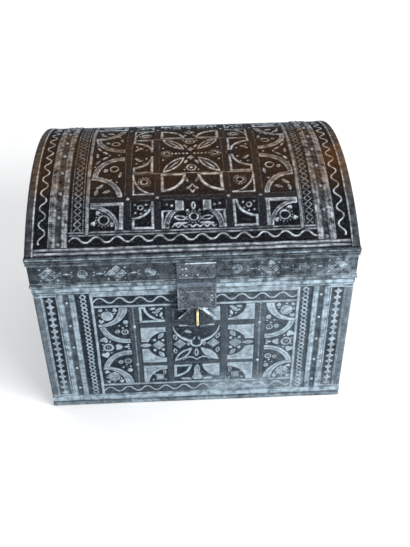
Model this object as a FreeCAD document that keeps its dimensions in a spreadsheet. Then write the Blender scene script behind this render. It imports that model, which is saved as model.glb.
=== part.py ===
import FreeCAD, Part
import math
import os

import Sketcher
from FreeCAD import Placement, Rotation, Vector

# A domed chest: wooden boards covered with embossed sheet metal, nailed mouldings over the seams,
# a lid on two butt hinges and a hasp that drops over a staple. Millimetres, +Z up, front towards -Y,
# origin at the middle of the base.

doc = FreeCAD.newDocument("domed_chest")
sheet = doc.addObject("Spreadsheet::Sheet", "Sizes")

# Driving sizes, in millimetres: alias, value and what it is.
SIZES = [
    ("box_width", 495, "box, over its mouldings, left to right"),
    ("box_depth", 384, "box, over its mouldings, front to back"),
    ("box_height", 267, "floor to the joint between box and lid"),
    ("lid_overhang", 2.5, "lid beyond the box on every side"),
    ("rim_height", 58, "upright part of the lid"),
    ("dome_rise", 58, "dome above the rim"),
    ("wall_thick", 12, "front, back and side boards of the box"),
    ("floor_thick", 10, "floor board"),
    ("rail_thick", 12, "front and back rails of the lid"),
    ("end_thick", 12, "arched end boards of the lid"),
    ("stave_thick", 10, "staves of the dome"),
    ("sheet_thick", 1.2, "embossed sheet, over its embossing"),
    ("bead_rise", 2.6, "mouldings above the sheet"),
    ("bedding", 0.2, "between a curved sheet and the staves"),
    ("seam_inset", 50, "seam between corner sheet and panel, in from the corner"),
    ("seam_width", 28, "moulding over a seam"),
    ("groove_width", 7, "nailed groove in the middle of a seam moulding"),
    ("strip_thick", 0.8, "seam moulding at its edges and in its groove"),
    ("emboss_rise", 1.3, "main embossed forms, above their sheet"),
    ("bar_rise", 0.7, "scored bars between the embossed forms, above their sheet"),
    ("line_width", 4.2, "embossed lines that frame the panels"),
    ("frame_width", 6, "embossed corner frames of the crown"),
    ("square_cut", 29, "quarter circle cut out of an embossed square, radius"),
    ("quarter_radius", 29.5, "embossed quarter discs of the front, radius"),
    ("band_radius", 40, "curved bands of the tall columns, radius at the middle of a band"),
    ("band_width", 9, "curved bands of the tall columns"),
    ("petal_length", 41, "petals of the front, point to point"),
    ("petal_width", 14, "petals of the front"),
    ("bowl_radius", 37.5, "embossed bowl of the front"),
    ("bowl_thick", 5.6, "embossed bowl of the front, at its thickest"),
    ("crown_bowl", 39.5, "quarter bowls of the crown, radius"),
    ("flower_length", 52, "petals of the crown's flower, point to point"),
    ("flower_width", 17, "petals of the crown's flower"),
    ("edge_width", 11.5, "raised strip along a corner"),
    ("edge_bevel", 1.5, "bevel on a raised corner"),
    ("edge_lap", 10, "fold of the lid's edge strip down over its end"),
    ("foot_bead", 11, "dark bead that stands on the ground"),
    ("base_bead", 14, "pale bead above the foot bead"),
    ("top_bead", 14, "bead along the top of the box"),
    ("rope_bead", 8, "roped bead along the bottom of the rim"),
    ("cornice_bead", 4.5, "each of the beads along the top of the rim"),
    ("cornice_rise", 1.2, "hollows between the cornice beads, below their crests"),
    ("nail_radius", 3.2, "domed nail head"),
    ("nail_rise", 2.4, "domed nail head, above its seat"),
    ("nail_pitch", 46, "between nails along a seam"),
    ("nail_margin", 18, "first nail from the end of its moulding"),
    ("hasp_width", 60, "hasp plate and leaf"),
    ("hasp_shift", 4, "middle of hasp and staple, right of the chest's middle"),
    ("hasp_thick", 2, "hasp plate and leaf"),
    ("hasp_barrel", 4.5, "barrel of the hasp's hinge, radius"),
    ("hasp_pin", 2, "pin of the hasp's hinge, radius"),
    ("hasp_drop", 86, "tip of the leaf below the joint of box and lid"),
    ("plate_height", 34, "hasp plate above the roped bead"),
    ("tongue_height", 38, "lozenge tongue of the leaf"),
    ("tongue_waist", 26, "tongue where it leaves the leaf, and at its tip"),
    ("slot_side", 1.95, "slot of the leaf, clear of the staple rod on each side"),
    ("slot_roof", 1.5, "slot of the leaf, clear above the staple"),
    ("lip_radius", 2.1, "rolled lip at the tip of each tine"),
    ("staple_rod", 2.25, "staple rod, radius"),
    ("staple_height", 31, "staple over its legs"),
    ("staple_reach", 10, "staple beyond the leaf's face"),
    ("staple_bend", 5, "bends of the staple, radius at the rod's middle"),
    ("staple_bed", 9, "staple legs inside the front board"),
    ("staple_foot", 6, "lower leg of the staple above the tip of the leaf"),
    ("escutcheon_width", 24, "plate under the staple"),
    ("escutcheon_height", 44, "plate under the staple"),
    ("escutcheon_thick", 1.5, "plate under the staple"),
    ("hinge_clear", 3.5, "butt hinges, from the seam moulding beside them"),
    ("hinge_width", 60, "butt hinges"),
    ("hinge_drop", 38, "leaf of a butt hinge, from the pin's middle"),
    ("leaf_thick", 2, "leaf of a butt hinge"),
    ("barrel_radius", 4, "barrel of a butt hinge"),
    ("hinge_pin", 2, "pin of a butt hinge, radius"),
    ("running", 0.05, "round a pin, in its bore"),
    ("free_gap", 0.3, "between pieces that pass each other"),
    ("overrun", 1, "cuts beyond the solid"),
]

# Counts, and shares of the sizes that they follow.
STAVES = 7
LEAF_RIVET_SHARES = [(-0.36, 0.45), (0.36, 0.45), (-0.36, 0.85), (0.36, 0.85)]
PLATE_RIVET_SHARES = [(-0.42, 0.25), (0.42, 0.25), (-0.42, 0.8), (0.42, 0.8)]
RIVET_SHARE = 0.55
LOZENGE_SHARE = 0.5
BAR_PLACE_SHARES = [-0.49, 0.52]
BAR_LEVEL_SHARES = [0.68, 0.303]

# The front panel's columns, as shares of its half width, the outer edge first, and its rows, as
# shares of its height. The hand's columns aren't quite even.
TALL_SHARES = [(-0.777, -0.53), (0.81, 0.567)]
POST_SHARES = [(-0.525, -0.451), (0.562, 0.486)]
SQUARE_SHARES = [(-0.443, -0.242), (0.479, 0.263)]
BAR_SHARES = [(-0.238, -0.192), (0.259, 0.208)]
STRIP_SHARES = [-0.806, 0.82]
ROW_SHARES = [(0.112, 0.286), (0.32, 0.668), (0.718, 0.864)]
LINE_SHARES = [0.098, 0.876]
SPLIT_SHARES = [(0, 0.4), (0.6, 1)]
BOWL_LEVEL_SHARE = 0.675
BOWL_GAP_SHARE = 0.037
PETAL_SHARES = (0.11, 0.391)
BAND_SHARE = 0.37

# The crown's columns, as shares of its half width, and its rows, as shares of its half arc from
# the rim to the crown.
CROWN_TALL_SHARES = [(-0.766, -0.515), (0.807, 0.565)]
CROWN_POST_SHARES = [(-0.509, -0.456), (0.56, 0.507)]
CROWN_SQUARE_SHARES = [(-0.449, -0.285), (0.5, 0.316)]
CROWN_BAR_SHARES = [(-0.28, -0.234), (0.311, 0.263)]
CROWN_STRIP_SHARES = [-0.787, 0.827]
CROWN_ROW_SHARES = [(0.192, 0.43), (0.492, 0.707), (0.72, 0.938)]
CROWN_BLOCK_SHARES = (0.0725, 0.135)
CROWN_BLOCK_LEVEL_SHARE = 0.35
CROWN_FLOWER_SHARES = (0.14, 0.847)
CROWN_FLOWER_TILT = 48
PETAL_TILT = 45


def fill_sheet():
    """Writes the driving sizes into the spreadsheet, one alias a row."""
    for row, (alias, value, meaning) in enumerate(SIZES, start=1):
        sheet.set("A%d" % row, meaning)
        sheet.set("B%d" % row, str(value))
        sheet.setAlias("B%d" % row, alias)
    doc.recompute()


fill_sheet()


FORMULAS = {}


def size(text):
    """Formula with each alias written as a cell of the sheet, and each worked-out size in full."""
    aliases = {alias for alias, _, _ in SIZES}
    out, word = "", ""
    for letter in text + " ":
        if letter.isalnum() or letter == "_":
            word += letter
            continue
        out += FORMULAS.get(word, "Sizes." + word if word in aliases else word) + letter
        word = ""
    return "(" + out.strip() + ")"


def derive(name, text):
    """Names a formula, so that later ones can use it, and returns it."""
    FORMULAS[name] = size(text)
    return FORMULAS[name]


def number(formula):
    """Value of a formula, as a plain number."""
    value = sheet.evalExpression(formula)
    return float(getattr(value, "Value", value))


# Sizes worked out from the driving ones. The carcass is what lies under sheet and mouldings.
SKIN = derive("skin", "sheet_thick + bead_rise")
LID_WIDTH = derive("lid_width", "box_width + 2 * lid_overhang")
LID_DEPTH = derive("lid_depth", "box_depth + 2 * lid_overhang")
BOX_HALF_WIDTH = derive("box_half_width", "box_width / 2 - skin")
BOX_HALF_DEPTH = derive("box_half_depth", "box_depth / 2 - skin")
LID_HALF_WIDTH = derive("lid_half_width", "lid_width / 2 - skin")
LID_HALF_DEPTH = derive("lid_half_depth", "lid_depth / 2 - skin")
BASE_TOP = derive("base_top", "foot_bead + base_bead")
FIELD_TOP = derive("field_top", "box_height - top_bead")
FIELD_HEIGHT = derive("field_height", "field_top - base_top")
RIM_TOP = derive("rim_top", "box_height + rim_height")
DOME_RADIUS = derive("dome_radius", "(lid_depth * lid_depth / 4 + dome_rise * dome_rise) / (2 * dome_rise)")
DOME_CENTRE = derive("dome_centre", "rim_top + dome_rise - dome_radius")
SKIN_OUTER = derive("skin_outer", "dome_radius - bead_rise")
SKIN_INNER = derive("skin_inner", "skin_outer - sheet_thick")
STAVE_OUTER = derive("stave_outer", "skin_inner - bedding")
STAVE_INNER = derive("stave_inner", "stave_outer - stave_thick")
SKIN_REACH = derive("skin_reach", "asin((lid_half_depth - bedding) / dome_radius)")
STAVE_REACH = derive("stave_reach", "asin(lid_half_depth / stave_outer)")
HASP_Y = derive("hasp_y", "0 - lid_depth / 2 - free_gap - hasp_barrel")
HASP_Z = derive("hasp_z", "box_height + hasp_barrel")
LEAF_BACK = derive("leaf_back", "0 - lid_depth / 2 - free_gap")
LEAF_TIP = derive("leaf_tip", "box_height - hasp_drop")
LEAF_HEAD = derive("leaf_head", "box_height - free_gap")
STAPLE_LOW = derive("staple_low", "leaf_tip + staple_foot + staple_rod")
STAPLE_HIGH = derive("staple_high", "staple_low + staple_height - 2 * staple_rod")
PANEL_HALF = derive("panel_half", "box_width / 2 - seam_inset")
PANEL_FACE = derive("panel_face", "0 - box_depth / 2 + bead_rise")
CROWN_HALF = derive("crown_half", "lid_width / 2 - seam_inset")
HINGE_Y = derive("hinge_y", "lid_depth / 2 - bead_rise + barrel_radius + free_gap")
PLATE_MIDDLE = derive("plate_middle", "staple_low + staple_height / 2 - staple_rod")
HINGE_Z = derive("hinge_z", "box_height")
HINGE_PLACE = derive(
    "hinge_place", "box_width / 2 - seam_inset - seam_width / 2 - hinge_clear - hinge_width / 2"
)

PIECES = {}


def keep(node, piece):
    """Labels a finished sub-part with its node's name."""
    piece.Label = node
    PIECES[node] = piece
    return piece


def bind(thing, **formulas):
    """Binds properties of an object to formulas; __ stands for a dot."""
    for name, formula in formulas.items():
        thing.setExpression(name.replace("__", "."), formula)
    return thing


def place(thing, x="0", y="0", z="0", rotation=None):
    """Sets an object's rotation, and binds its place to formulas."""
    if rotation is not None:
        thing.Placement = Placement(Vector(), rotation)
    return bind(thing, Placement__Base__x=x, Placement__Base__y=y, Placement__Base__z=z)


def block(name, low, extent):
    """Box from its low corner and its three sides, all formulas."""
    piece = doc.addObject("Part::Box", name)
    bind(piece, Length=extent[0], Width=extent[1], Height=extent[2])
    return place(piece, *low)


def rod(name, radius, length, start, rotation=None):
    """Cylinder that starts at a point, along +Z unless it is rotated."""
    piece = doc.addObject("Part::Cylinder", name)
    bind(piece, Radius=radius, Height=length)
    return place(piece, *start, rotation=rotation)


def fuse(name, shapes):
    """One solid of several that meet."""
    piece = doc.addObject("Part::MultiFuse", name)
    piece.Shapes = shapes
    piece.Refine = True
    return piece


def cut(name, base, tool):
    """A solid with another taken away."""
    piece = doc.addObject("Part::Cut", name)
    piece.Base = base
    piece.Tool = tool
    return piece


def common(name, base, tool):
    """What two solids share."""
    piece = doc.addObject("Part::Common", name)
    piece.Base = base
    piece.Tool = tool
    return piece


ALONG_X = Rotation(Vector(0, 1, 0), 90)
ALONG_Y = Rotation(Vector(1, 0, 0), -90)


def new_body(name):
    """Empty body."""
    return doc.addObject("PartDesign::Body", name)


def new_sketch(body, role):
    """Sketch on one of its own body's origin planes."""
    sketch = body.newObject("Sketcher::SketchObject", body.Name + "_sketch")
    plane = next(one for one in body.Origin.OriginFeatures if one.Role == role)
    sketch.AttachmentSupport = [(plane, "")]
    sketch.MapMode = "FlatFace"
    return sketch


def outline(sketch, points, arcs=None):
    """Closed counter-clockwise outline, each point bound to two formulas.

    arcs maps a stretch's number to its chord and its bulge outwards, as formulas.
    """
    arcs = arcs or {}
    first = len(sketch.Geometry)
    spots = [Vector(number(x), number(y), 0) for x, y in points]
    count = len(points)
    ends = []
    for index in range(count):
        here, there = spots[index], spots[(index + 1) % count]
        if index in arcs:
            out = (there - here).cross(Vector(0, 0, 1)).normalize()
            crest = (here + there) * 0.5 + out * number(arcs[index][1])
            sketch.addGeometry(Part.Arc(here, crest, there), False)
        else:
            sketch.addGeometry(Part.LineSegment(here, there), False)
        start = sketch.Geometry[-1].StartPoint
        ends.append((1, 2) if (start - here).Length < (start - there).Length else (2, 1))
    for index in range(count):
        after = (index + 1) % count
        sketch.addConstraint(
            Sketcher.Constraint("Coincident", first + index, ends[index][1], first + after, ends[after][0])
        )
    for index, (x, y) in enumerate(points):
        for kind, formula in (("DistanceX", x), ("DistanceY", y)):
            where = sketch.addConstraint(
                Sketcher.Constraint(kind, -1, 1, first + index, ends[index][0], number(formula))
            )
            sketch.setExpression("Constraints[%d]" % where, formula)
    for index, (chord, rise) in arcs.items():
        radius = "((%s) * (%s) / 4 + (%s) * (%s)) / (2 * (%s))" % (chord, chord, rise, rise, rise)
        where = sketch.addConstraint(Sketcher.Constraint("Radius", first + index, number(radius)))
        sketch.setExpression("Constraints[%d]" % where, radius)


def hole(sketch, x, y, radius):
    """Circle in a sketch, its centre and radius bound to formulas."""
    index = sketch.addGeometry(Part.Circle(Vector(number(x), number(y), 0), Vector(0, 0, 1), number(radius)))
    for kind, formula in (("DistanceX", x), ("DistanceY", y)):
        where = sketch.addConstraint(Sketcher.Constraint(kind, -1, 1, index, 3, number(formula)))
        sketch.setExpression("Constraints[%d]" % where, formula)
    where = sketch.addConstraint(Sketcher.Constraint("Radius", index, number(radius)))
    sketch.setExpression("Constraints[%d]" % where, radius)


def pad(body, sketch, length, both_ways=False):
    """Pads a sketch, to one side of its plane or evenly to both."""
    feature = body.newObject("PartDesign::Pad", body.Name + "_pad")
    feature.Profile = sketch
    if both_ways:
        feature.SideType = "Symmetric"
    bind(feature, Length=length)
    doc.recompute()
    return feature


def pocket(body, sketch, length=None, reverse=False):
    """Cuts a sketch out of a body, to a length or right through, and checks that it cuts."""
    before = body.Shape.Volume
    feature = body.newObject("PartDesign::Pocket", body.Name + "_pocket")
    feature.Profile = sketch
    feature.Reversed = reverse
    if length is None:
        feature.Type = "ThroughAll"
        feature.Midplane = True
    else:
        bind(feature, Length=length)
    doc.recompute()
    if not body.Shape.Volume < before:
        raise ValueError("the cut in %s takes nothing away" % body.Name)
    return feature


def turn(body, sketch, reach):
    """Turns a sketch on the XZ plane about the body's X axis, evenly to both sides of +Z."""
    feature = body.newObject("PartDesign::Revolution", body.Name + "_turn")
    feature.Profile = sketch
    feature.ReferenceAxis = (sketch, ["H_Axis"])
    feature.Midplane = True
    bind(feature, Angle="2 * %s" % reach)
    doc.recompute()
    return feature


# The four sides. A piece of a side is made with its outer face towards -Y, and turned.
class Side:
    """One side of the box or the lid: its name, its turn and which half size it lies at."""

    def __init__(self, name, angle, x_sign, y_sign):
        self.name = name
        self.rotation = Rotation(Vector(0, 0, 1), angle)
        self.x_sign = x_sign
        self.y_sign = y_sign

    def put(self, thing, half_width, half_depth, z):
        """Places a body on the carcass face of this side."""
        x = "%d * (%s)" % (self.x_sign, half_width)
        y = "%d * (%s)" % (self.y_sign, half_depth)
        return place(thing, x, y, z, self.rotation)

    def half_length(self, half_width, half_depth):
        """Half of this side's length."""
        return half_width if self.x_sign == 0 else half_depth


FRONT = Side("front", 0, 0, -1)
BACK = Side("back", 180, 0, 1)
LEFT = Side("left", -90, -1, 0)
RIGHT = Side("right", 90, 1, 0)
SIDES = [FRONT, BACK, LEFT, RIGHT]


def moulding(node, side, halves, z, steps, notch=None):
    """Mitred strip round one side of the carcass.

    steps are its bands from the top down, each a height, the depths of its upper and lower edge
    and its bulge, or None for a flat band. notch is a height from the bottom that is cut back to
    the sheet where the butt hinges lie.
    """
    half = side.half_length(*halves)
    body = new_body(node)
    profile = new_sketch(body, "YZ_Plane")
    total = " + ".join(step[0] for step in steps)
    points = [("0", "0"), ("0", total)]
    arcs = {}
    level = total
    for height, upper, lower, bulge in steps:
        points.append(("0 - (%s)" % upper, level))
        level = "%s - (%s)" % (level, height)
        if bulge is not None:
            arcs[len(points) - 1] = (height, bulge)
        if lower != upper or (height, upper, lower, bulge) == steps[-1]:
            points.append(("0 - (%s)" % lower, level))
    points[-1] = (points[-1][0], "0")
    outline(profile, points, arcs)
    pad(body, profile, "2 * (%s) + 2 * (%s)" % (half, SKIN), both_ways=True)
    mitre = new_sketch(body, "XY_Plane")
    inner = "(%s) - Sizes.overrun" % half
    outer = "(%s) + (%s) + Sizes.overrun" % (half, SKIN)
    past = "0 - (%s) - Sizes.overrun" % SKIN
    outline(mitre, [(inner, "Sizes.overrun"), (outer, past), (outer, "Sizes.overrun")])
    outline(mitre, [("0 - (%s)" % inner, "Sizes.overrun"), ("0 - (%s)" % outer, "Sizes.overrun"),
                    ("0 - (%s)" % outer, past)])
    pocket(body, mitre)
    if notch:
        clear = new_sketch(body, "XY_Plane")
        for sign in (-1, 1):
            low = "%d * %s - Sizes.hinge_width / 2 - Sizes.free_gap" % (sign, HINGE_PLACE)
            high = "%d * %s + Sizes.hinge_width / 2 + Sizes.free_gap" % (sign, HINGE_PLACE)
            near = "0 - Sizes.sheet_thick"
            outline(clear, [(low, past), (high, past), (high, near), (low, near)])
        pocket(body, clear, notch, reverse=True)
    side.put(body, *halves, z)
    return keep(node, body)


def box_boards():
    """Front and back boards with rebated ends, side boards between them, and the floor board."""
    thick, half = size("wall_thick"), size("wall_thick / 2")
    for side in (FRONT, BACK):
        body = new_body(side.name + "_board")
        sketch = new_sketch(body, "XY_Plane")
        end, shoulder = BOX_HALF_WIDTH, "%s - Sizes.wall_thick" % BOX_HALF_WIDTH
        outline(sketch, [
            ("0 - " + end, "0"), (end, "0"), (end, half), (shoulder, half), (shoulder, thick),
            ("0 - (%s)" % shoulder, thick), ("0 - (%s)" % shoulder, half), ("0 - " + end, half),
        ])
        pad(body, sketch, size("box_height"))
        if side is FRONT:
            holes = new_sketch(body, "XZ_Plane")
            for level in staple_legs():
                hole(holes, size("hasp_shift"), level, size("staple_rod + running"))
            pocket(body, holes, size("staple_bed"))
        side.put(body, BOX_HALF_WIDTH, BOX_HALF_DEPTH, "0")
        keep(side.name + "_board", body)
    for side in (LEFT, RIGHT):
        x = "0 - " + BOX_HALF_WIDTH if side is LEFT else "%s - Sizes.wall_thick" % BOX_HALF_WIDTH
        long = "2 * %s - Sizes.wall_thick" % BOX_HALF_DEPTH
        keep(side.name + "_board", block(
            side.name + "_board", (x, "Sizes.wall_thick / 2 - " + BOX_HALF_DEPTH, "0"),
            (thick, long, size("box_height")),
        ))
    inside = [("%s - Sizes.wall_thick" % part) for part in (BOX_HALF_WIDTH, BOX_HALF_DEPTH)]
    keep("floor_board", block(
        "floor_board", ["0 - (%s)" % part for part in inside] + ["0"],
        ["2 * (%s)" % part for part in inside] + [size("floor_thick")],
    ))


def staple_legs():
    """Heights of the staple's two legs."""
    return [STAPLE_LOW, STAPLE_HIGH]


def petal(name, plane, length, width, depth):
    """Pointed petal between two arcs, along the X axis of one of its body's planes."""
    body = new_body(name)
    sketch = new_sketch(body, plane)
    half, arc = size("%s / 2" % length), (size(length), size("%s / 2" % width))
    outline(sketch, [("0 - " + half, "0"), (half, "0")], {0: arc, 1: arc})
    pad(body, sketch, depth)
    return body


class FrontForms:
    """Embossed forms on the front sheet, placed by shares of its half width and of its height."""

    def __init__(self):
        self.shapes = []

    def x(self, share):
        """Place across the panel."""
        return "%g * %s" % (share, PANEL_HALF)

    def z(self, share):
        """Place up the panel."""
        return "%s + %g * %s" % (BASE_TOP, share, FIELD_HEIGHT)

    def flat(self, columns, rows, rise="emboss_rise"):
        """Raised rectangle between shares."""
        low, high = sorted(columns)
        return block("front_flat", (self.x(low), "%s - Sizes.%s" % (PANEL_FACE, rise), self.z(rows[0])), (
            "%g * %s" % (high - low, PANEL_HALF), size("%s + sheet_thick / 2" % rise),
            "%g * %s" % (rows[1] - rows[0], FIELD_HEIGHT)))

    def line(self, columns, rows):
        """Raised line between shares. A column or row that is one share is its middle."""
        half = size("line_width / 2")
        ends = []
        for pair, place_of, whole in ((columns, self.x, PANEL_HALF), (rows, self.z, FIELD_HEIGHT)):
            if pair[0] == pair[1]:
                ends.append(("%s - %s" % (place_of(pair[0]), half), size("line_width")))
            else:
                ends.append((place_of(pair[0]), "%g * %s" % (pair[1] - pair[0], whole)))
        start = (ends[0][0], PANEL_FACE + " - Sizes.emboss_rise", ends[1][0])
        return block("front_line", start, (ends[0][1], size("emboss_rise + sheet_thick / 2"), ends[1][1]))

    def disc(self, x, z, radius):
        """Round tool or form that stands as far as the main forms do."""
        return rod("front_round", radius, size("emboss_rise + sheet_thick"),
                   (x, PANEL_FACE + " - Sizes.emboss_rise", z), ALONG_Y)

    def bars(self):
        """Strips, frame lines and scored bars."""
        top, bottom = LINE_SHARES[1], LINE_SHARES[0]
        self.shapes += [self.line((share, share), (0, 1)) for share in STRIP_SHARES]
        self.shapes += [self.line(STRIP_SHARES, (share, share)) for share in (bottom, top)]
        tall = (ROW_SHARES[0][0], ROW_SHARES[2][1])
        self.shapes += [self.flat(pair, tall, "bar_rise") for pair in POST_SHARES + BAR_SHARES]
        wide = (SQUARE_SHARES[0][0], SQUARE_SHARES[1][0])
        for lower, upper in zip(ROW_SHARES, ROW_SHARES[1:]):
            self.shapes.append(self.flat(wide, (lower[1], upper[0]), "bar_rise"))

    def squares(self):
        """Squares with a quarter circle cut out at the panel's middle side."""
        for outer, inner in SQUARE_SHARES:
            low, middle, high = ROW_SHARES
            spots = [(low, low[0]), (high, high[1])]
            for start, end in SPLIT_SHARES:
                depth = middle[1] - middle[0]
                spots.append(((middle[0] + start * depth, middle[0] + end * depth), sum(middle) / 2))
            for rows, centre in spots:
                tool = self.disc(self.x(inner), self.z(centre), size("square_cut"))
                self.shapes.append(cut("front_square", self.flat((outer, inner), rows), tool))

    def tall_columns(self):
        """Two curved bands in each half of the tall outer columns."""
        middle = sum(LINE_SHARES) / 2
        for outer, inner in TALL_SHARES:
            for end in (ROW_SHARES[0][0], ROW_SHARES[2][1]):
                rows = sorted((end, middle))
                spots = [(outer, end, rows), (inner, end + (middle - end) * BAND_SHARE, None)]
                for column, level, whole in spots:
                    part = whole or sorted((level, middle))
                    wide = self.disc(self.x(column), self.z(level), size("band_radius + band_width / 2"))
                    hollow = self.disc(self.x(column), self.z(level), size("band_radius - band_width / 2"))
                    sector = common("front_sector", self.flat((outer, inner), part), wide)
                    self.shapes.append(cut("front_band", sector, hollow))

    def centre(self):
        """Bowl, petals and quarter discs of the middle column."""
        left, right = BAR_SHARES[0][1], BAR_SHARES[1][1]
        middle, rows = (left + right) / 2, ROW_SHARES[1]
        level = self.z(BOWL_LEVEL_SHARE)
        bowl = common("front_bowl", self.flat((left, right), rows),
                      self.disc(self.x(middle), level, size("bowl_radius")))
        hollow = self.disc(self.x(middle), level + " + Sizes.bowl_thick", size("bowl_radius"))
        split = self.flat((middle - BOWL_GAP_SHARE, middle + BOWL_GAP_SHARE), rows)
        self.shapes.append(cut("front_bowl_halves", cut("front_bowl_hollow", bowl, hollow), split))
        for sign in (-1, 1):
            across, up = PETAL_SHARES
            form = petal("front_petal", "XZ_Plane", "petal_length", "petal_width",
                         size("emboss_rise + sheet_thick / 2"))
            place(form, self.x(middle + sign * across), PANEL_FACE + " + Sizes.sheet_thick / 2", self.z(up),
                  Rotation(Vector(0, 1, 0), sign * PETAL_TILT))
            self.shapes.append(form)
            corner = right if sign > 0 else left
            low, high = ROW_SHARES[0]
            quarter = self.disc(self.x(corner), self.z(high), size("quarter_radius"))
            self.shapes.append(common("front_quarter", self.flat((middle, corner), (low, high)), quarter))

    def emboss(self, blank):
        """The sheet with its forms, clear of the staple's plate, and the holes for its legs."""
        self.bars()
        self.squares()
        self.tall_columns()
        self.centre()
        wide, tall = size("escutcheon_width / 2 + free_gap"), size("escutcheon_height / 2 + free_gap")
        depth = size("emboss_rise + overrun")
        clear = block("front_plate_clear", ("Sizes.hasp_shift - " + wide, "%s - %s" % (PANEL_FACE, depth),
                                            "%s - %s" % (PLATE_MIDDLE, tall)),
                      ("2 * " + wide, depth, "2 * " + tall))
        holes = [rod("front_leg_hole", size("staple_rod + running"), size("sheet_thick + 2 * overrun"),
                     (size("hasp_shift"), PANEL_FACE + " - Sizes.overrun", level), ALONG_Y)
                 for level in staple_legs()]
        forms = fuse("front_forms", [blank] + self.shapes)
        return cut("front_sheet", forms, fuse("front_clear", [clear] + holes))


def box_sheets():
    """Flat panel sheets between the seams, and sheets folded round the corners."""
    for side in SIDES:
        half = side.half_length(size("box_width / 2"), size("box_depth / 2")) + " - Sizes.seam_inset"
        body = new_body(side.name + "_sheet")
        sketch = new_sketch(body, "XY_Plane")
        skin = "0 - Sizes.sheet_thick"
        outline(sketch, [("0 - (%s)" % half, skin), (half, skin), (half, "0"), ("0 - (%s)" % half, "0")])
        pad(body, sketch, FIELD_HEIGHT)
        side.put(body, BOX_HALF_WIDTH, BOX_HALF_DEPTH, BASE_TOP)
        keep(side.name + "_sheet", FrontForms().emboss(body) if side is FRONT else body)
    corners = [("front_left", 0, -1, -1), ("front_right", 90, 1, -1), ("back_right", 180, 1, 1),
               ("back_left", 270, -1, 1)]
    for name, angle, x_sign, y_sign in corners:
        body = new_body(name + "_corner_sheet")
        sketch = new_sketch(body, "XY_Plane")
        far, skin, edge = size("seam_inset - sheet_thick - bead_rise"), "0 - Sizes.sheet_thick", "0 - " + SKIN
        ridge = size("edge_width - sheet_thick - bead_rise")
        slope = "%s - Sizes.bead_rise" % ridge
        bevel = "%s + Sizes.edge_bevel" % edge
        outline(sketch, [
            ("0", "0"), ("0", far), (skin, far), (skin, ridge), (edge, slope), (edge, bevel), (bevel, edge),
            (slope, edge), (ridge, skin), (far, skin), (far, "0"),
        ])
        pad(body, sketch, FIELD_HEIGHT)
        place(body, "%d * %s" % (x_sign, BOX_HALF_WIDTH), "%d * %s" % (y_sign, BOX_HALF_DEPTH), BASE_TOP,
              Rotation(Vector(0, 0, 1), angle))
        keep(name + "_corner_sheet", body)


def seam_outline(sketch, middle, base):
    """Section of a seam moulding: two beads with a flat groove between them.

    middle is its centre line's place, and base the height of the sheet that it lies on.
    """
    edge = "%s + Sizes.strip_thick" % base
    places = [size("0 - seam_width / 2"), size("0 - groove_width / 2"), size("groove_width / 2"),
              size("seam_width / 2")]
    left, inner_left, inner_right, right = ["%s + %s" % (middle, one) for one in places]
    bead = (size("(seam_width - groove_width) / 2"), size("bead_rise - strip_thick"))
    outline(sketch, [(left, base), (right, base), (right, edge), (inner_right, edge), (inner_left, edge),
                     (left, edge)], {2: bead, 4: bead})


def seam_mouldings():
    """Two upright mouldings on each side of the box, as one node a side."""
    for side in SIDES:
        strips = []
        half = side.half_length(size("box_width / 2"), size("box_depth / 2")) + " - Sizes.seam_inset"
        for sign in (-1, 1):
            body = new_body("%s_seam_%s" % (side.name, "left" if sign < 0 else "right"))
            sketch = new_sketch(body, "XY_Plane")
            seam_outline(sketch, "%d * (%s)" % (-sign, half), "Sizes.sheet_thick")
            pad(body, sketch, FIELD_HEIGHT)
            flip = Rotation(Vector(0, 0, 1), 180)
            body.Placement = Placement(Vector(), side.rotation.multiply(flip))
            x, y = "%d * %s" % (side.x_sign, BOX_HALF_WIDTH), "%d * %s" % (side.y_sign, BOX_HALF_DEPTH)
            bind(body, Placement__Base__x=x, Placement__Base__y=y, Placement__Base__z=BASE_TOP)
            strips.append(body)
        group = doc.addObject("Part::Compound", side.name + "_seam_mouldings")
        group.Links = strips
        keep(side.name + "_seam_mouldings", group)


def box_mouldings():
    """Base and top mouldings of the box, one mitred strip a side."""
    skin, rise = size("sheet_thick"), size("bead_rise")
    for side in SIDES:
        halves = (BOX_HALF_WIDTH, BOX_HALF_DEPTH)
        moulding(side.name + "_base_moulding", side, halves, "0",
                 [(size("base_bead"), skin, skin, rise), (size("foot_bead"), skin, skin, rise)])
        moulding(side.name + "_top_moulding", side, halves, FIELD_TOP,
                 [(size("top_bead"), skin, skin, rise)], size("top_bead") if side is BACK else None)


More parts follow.
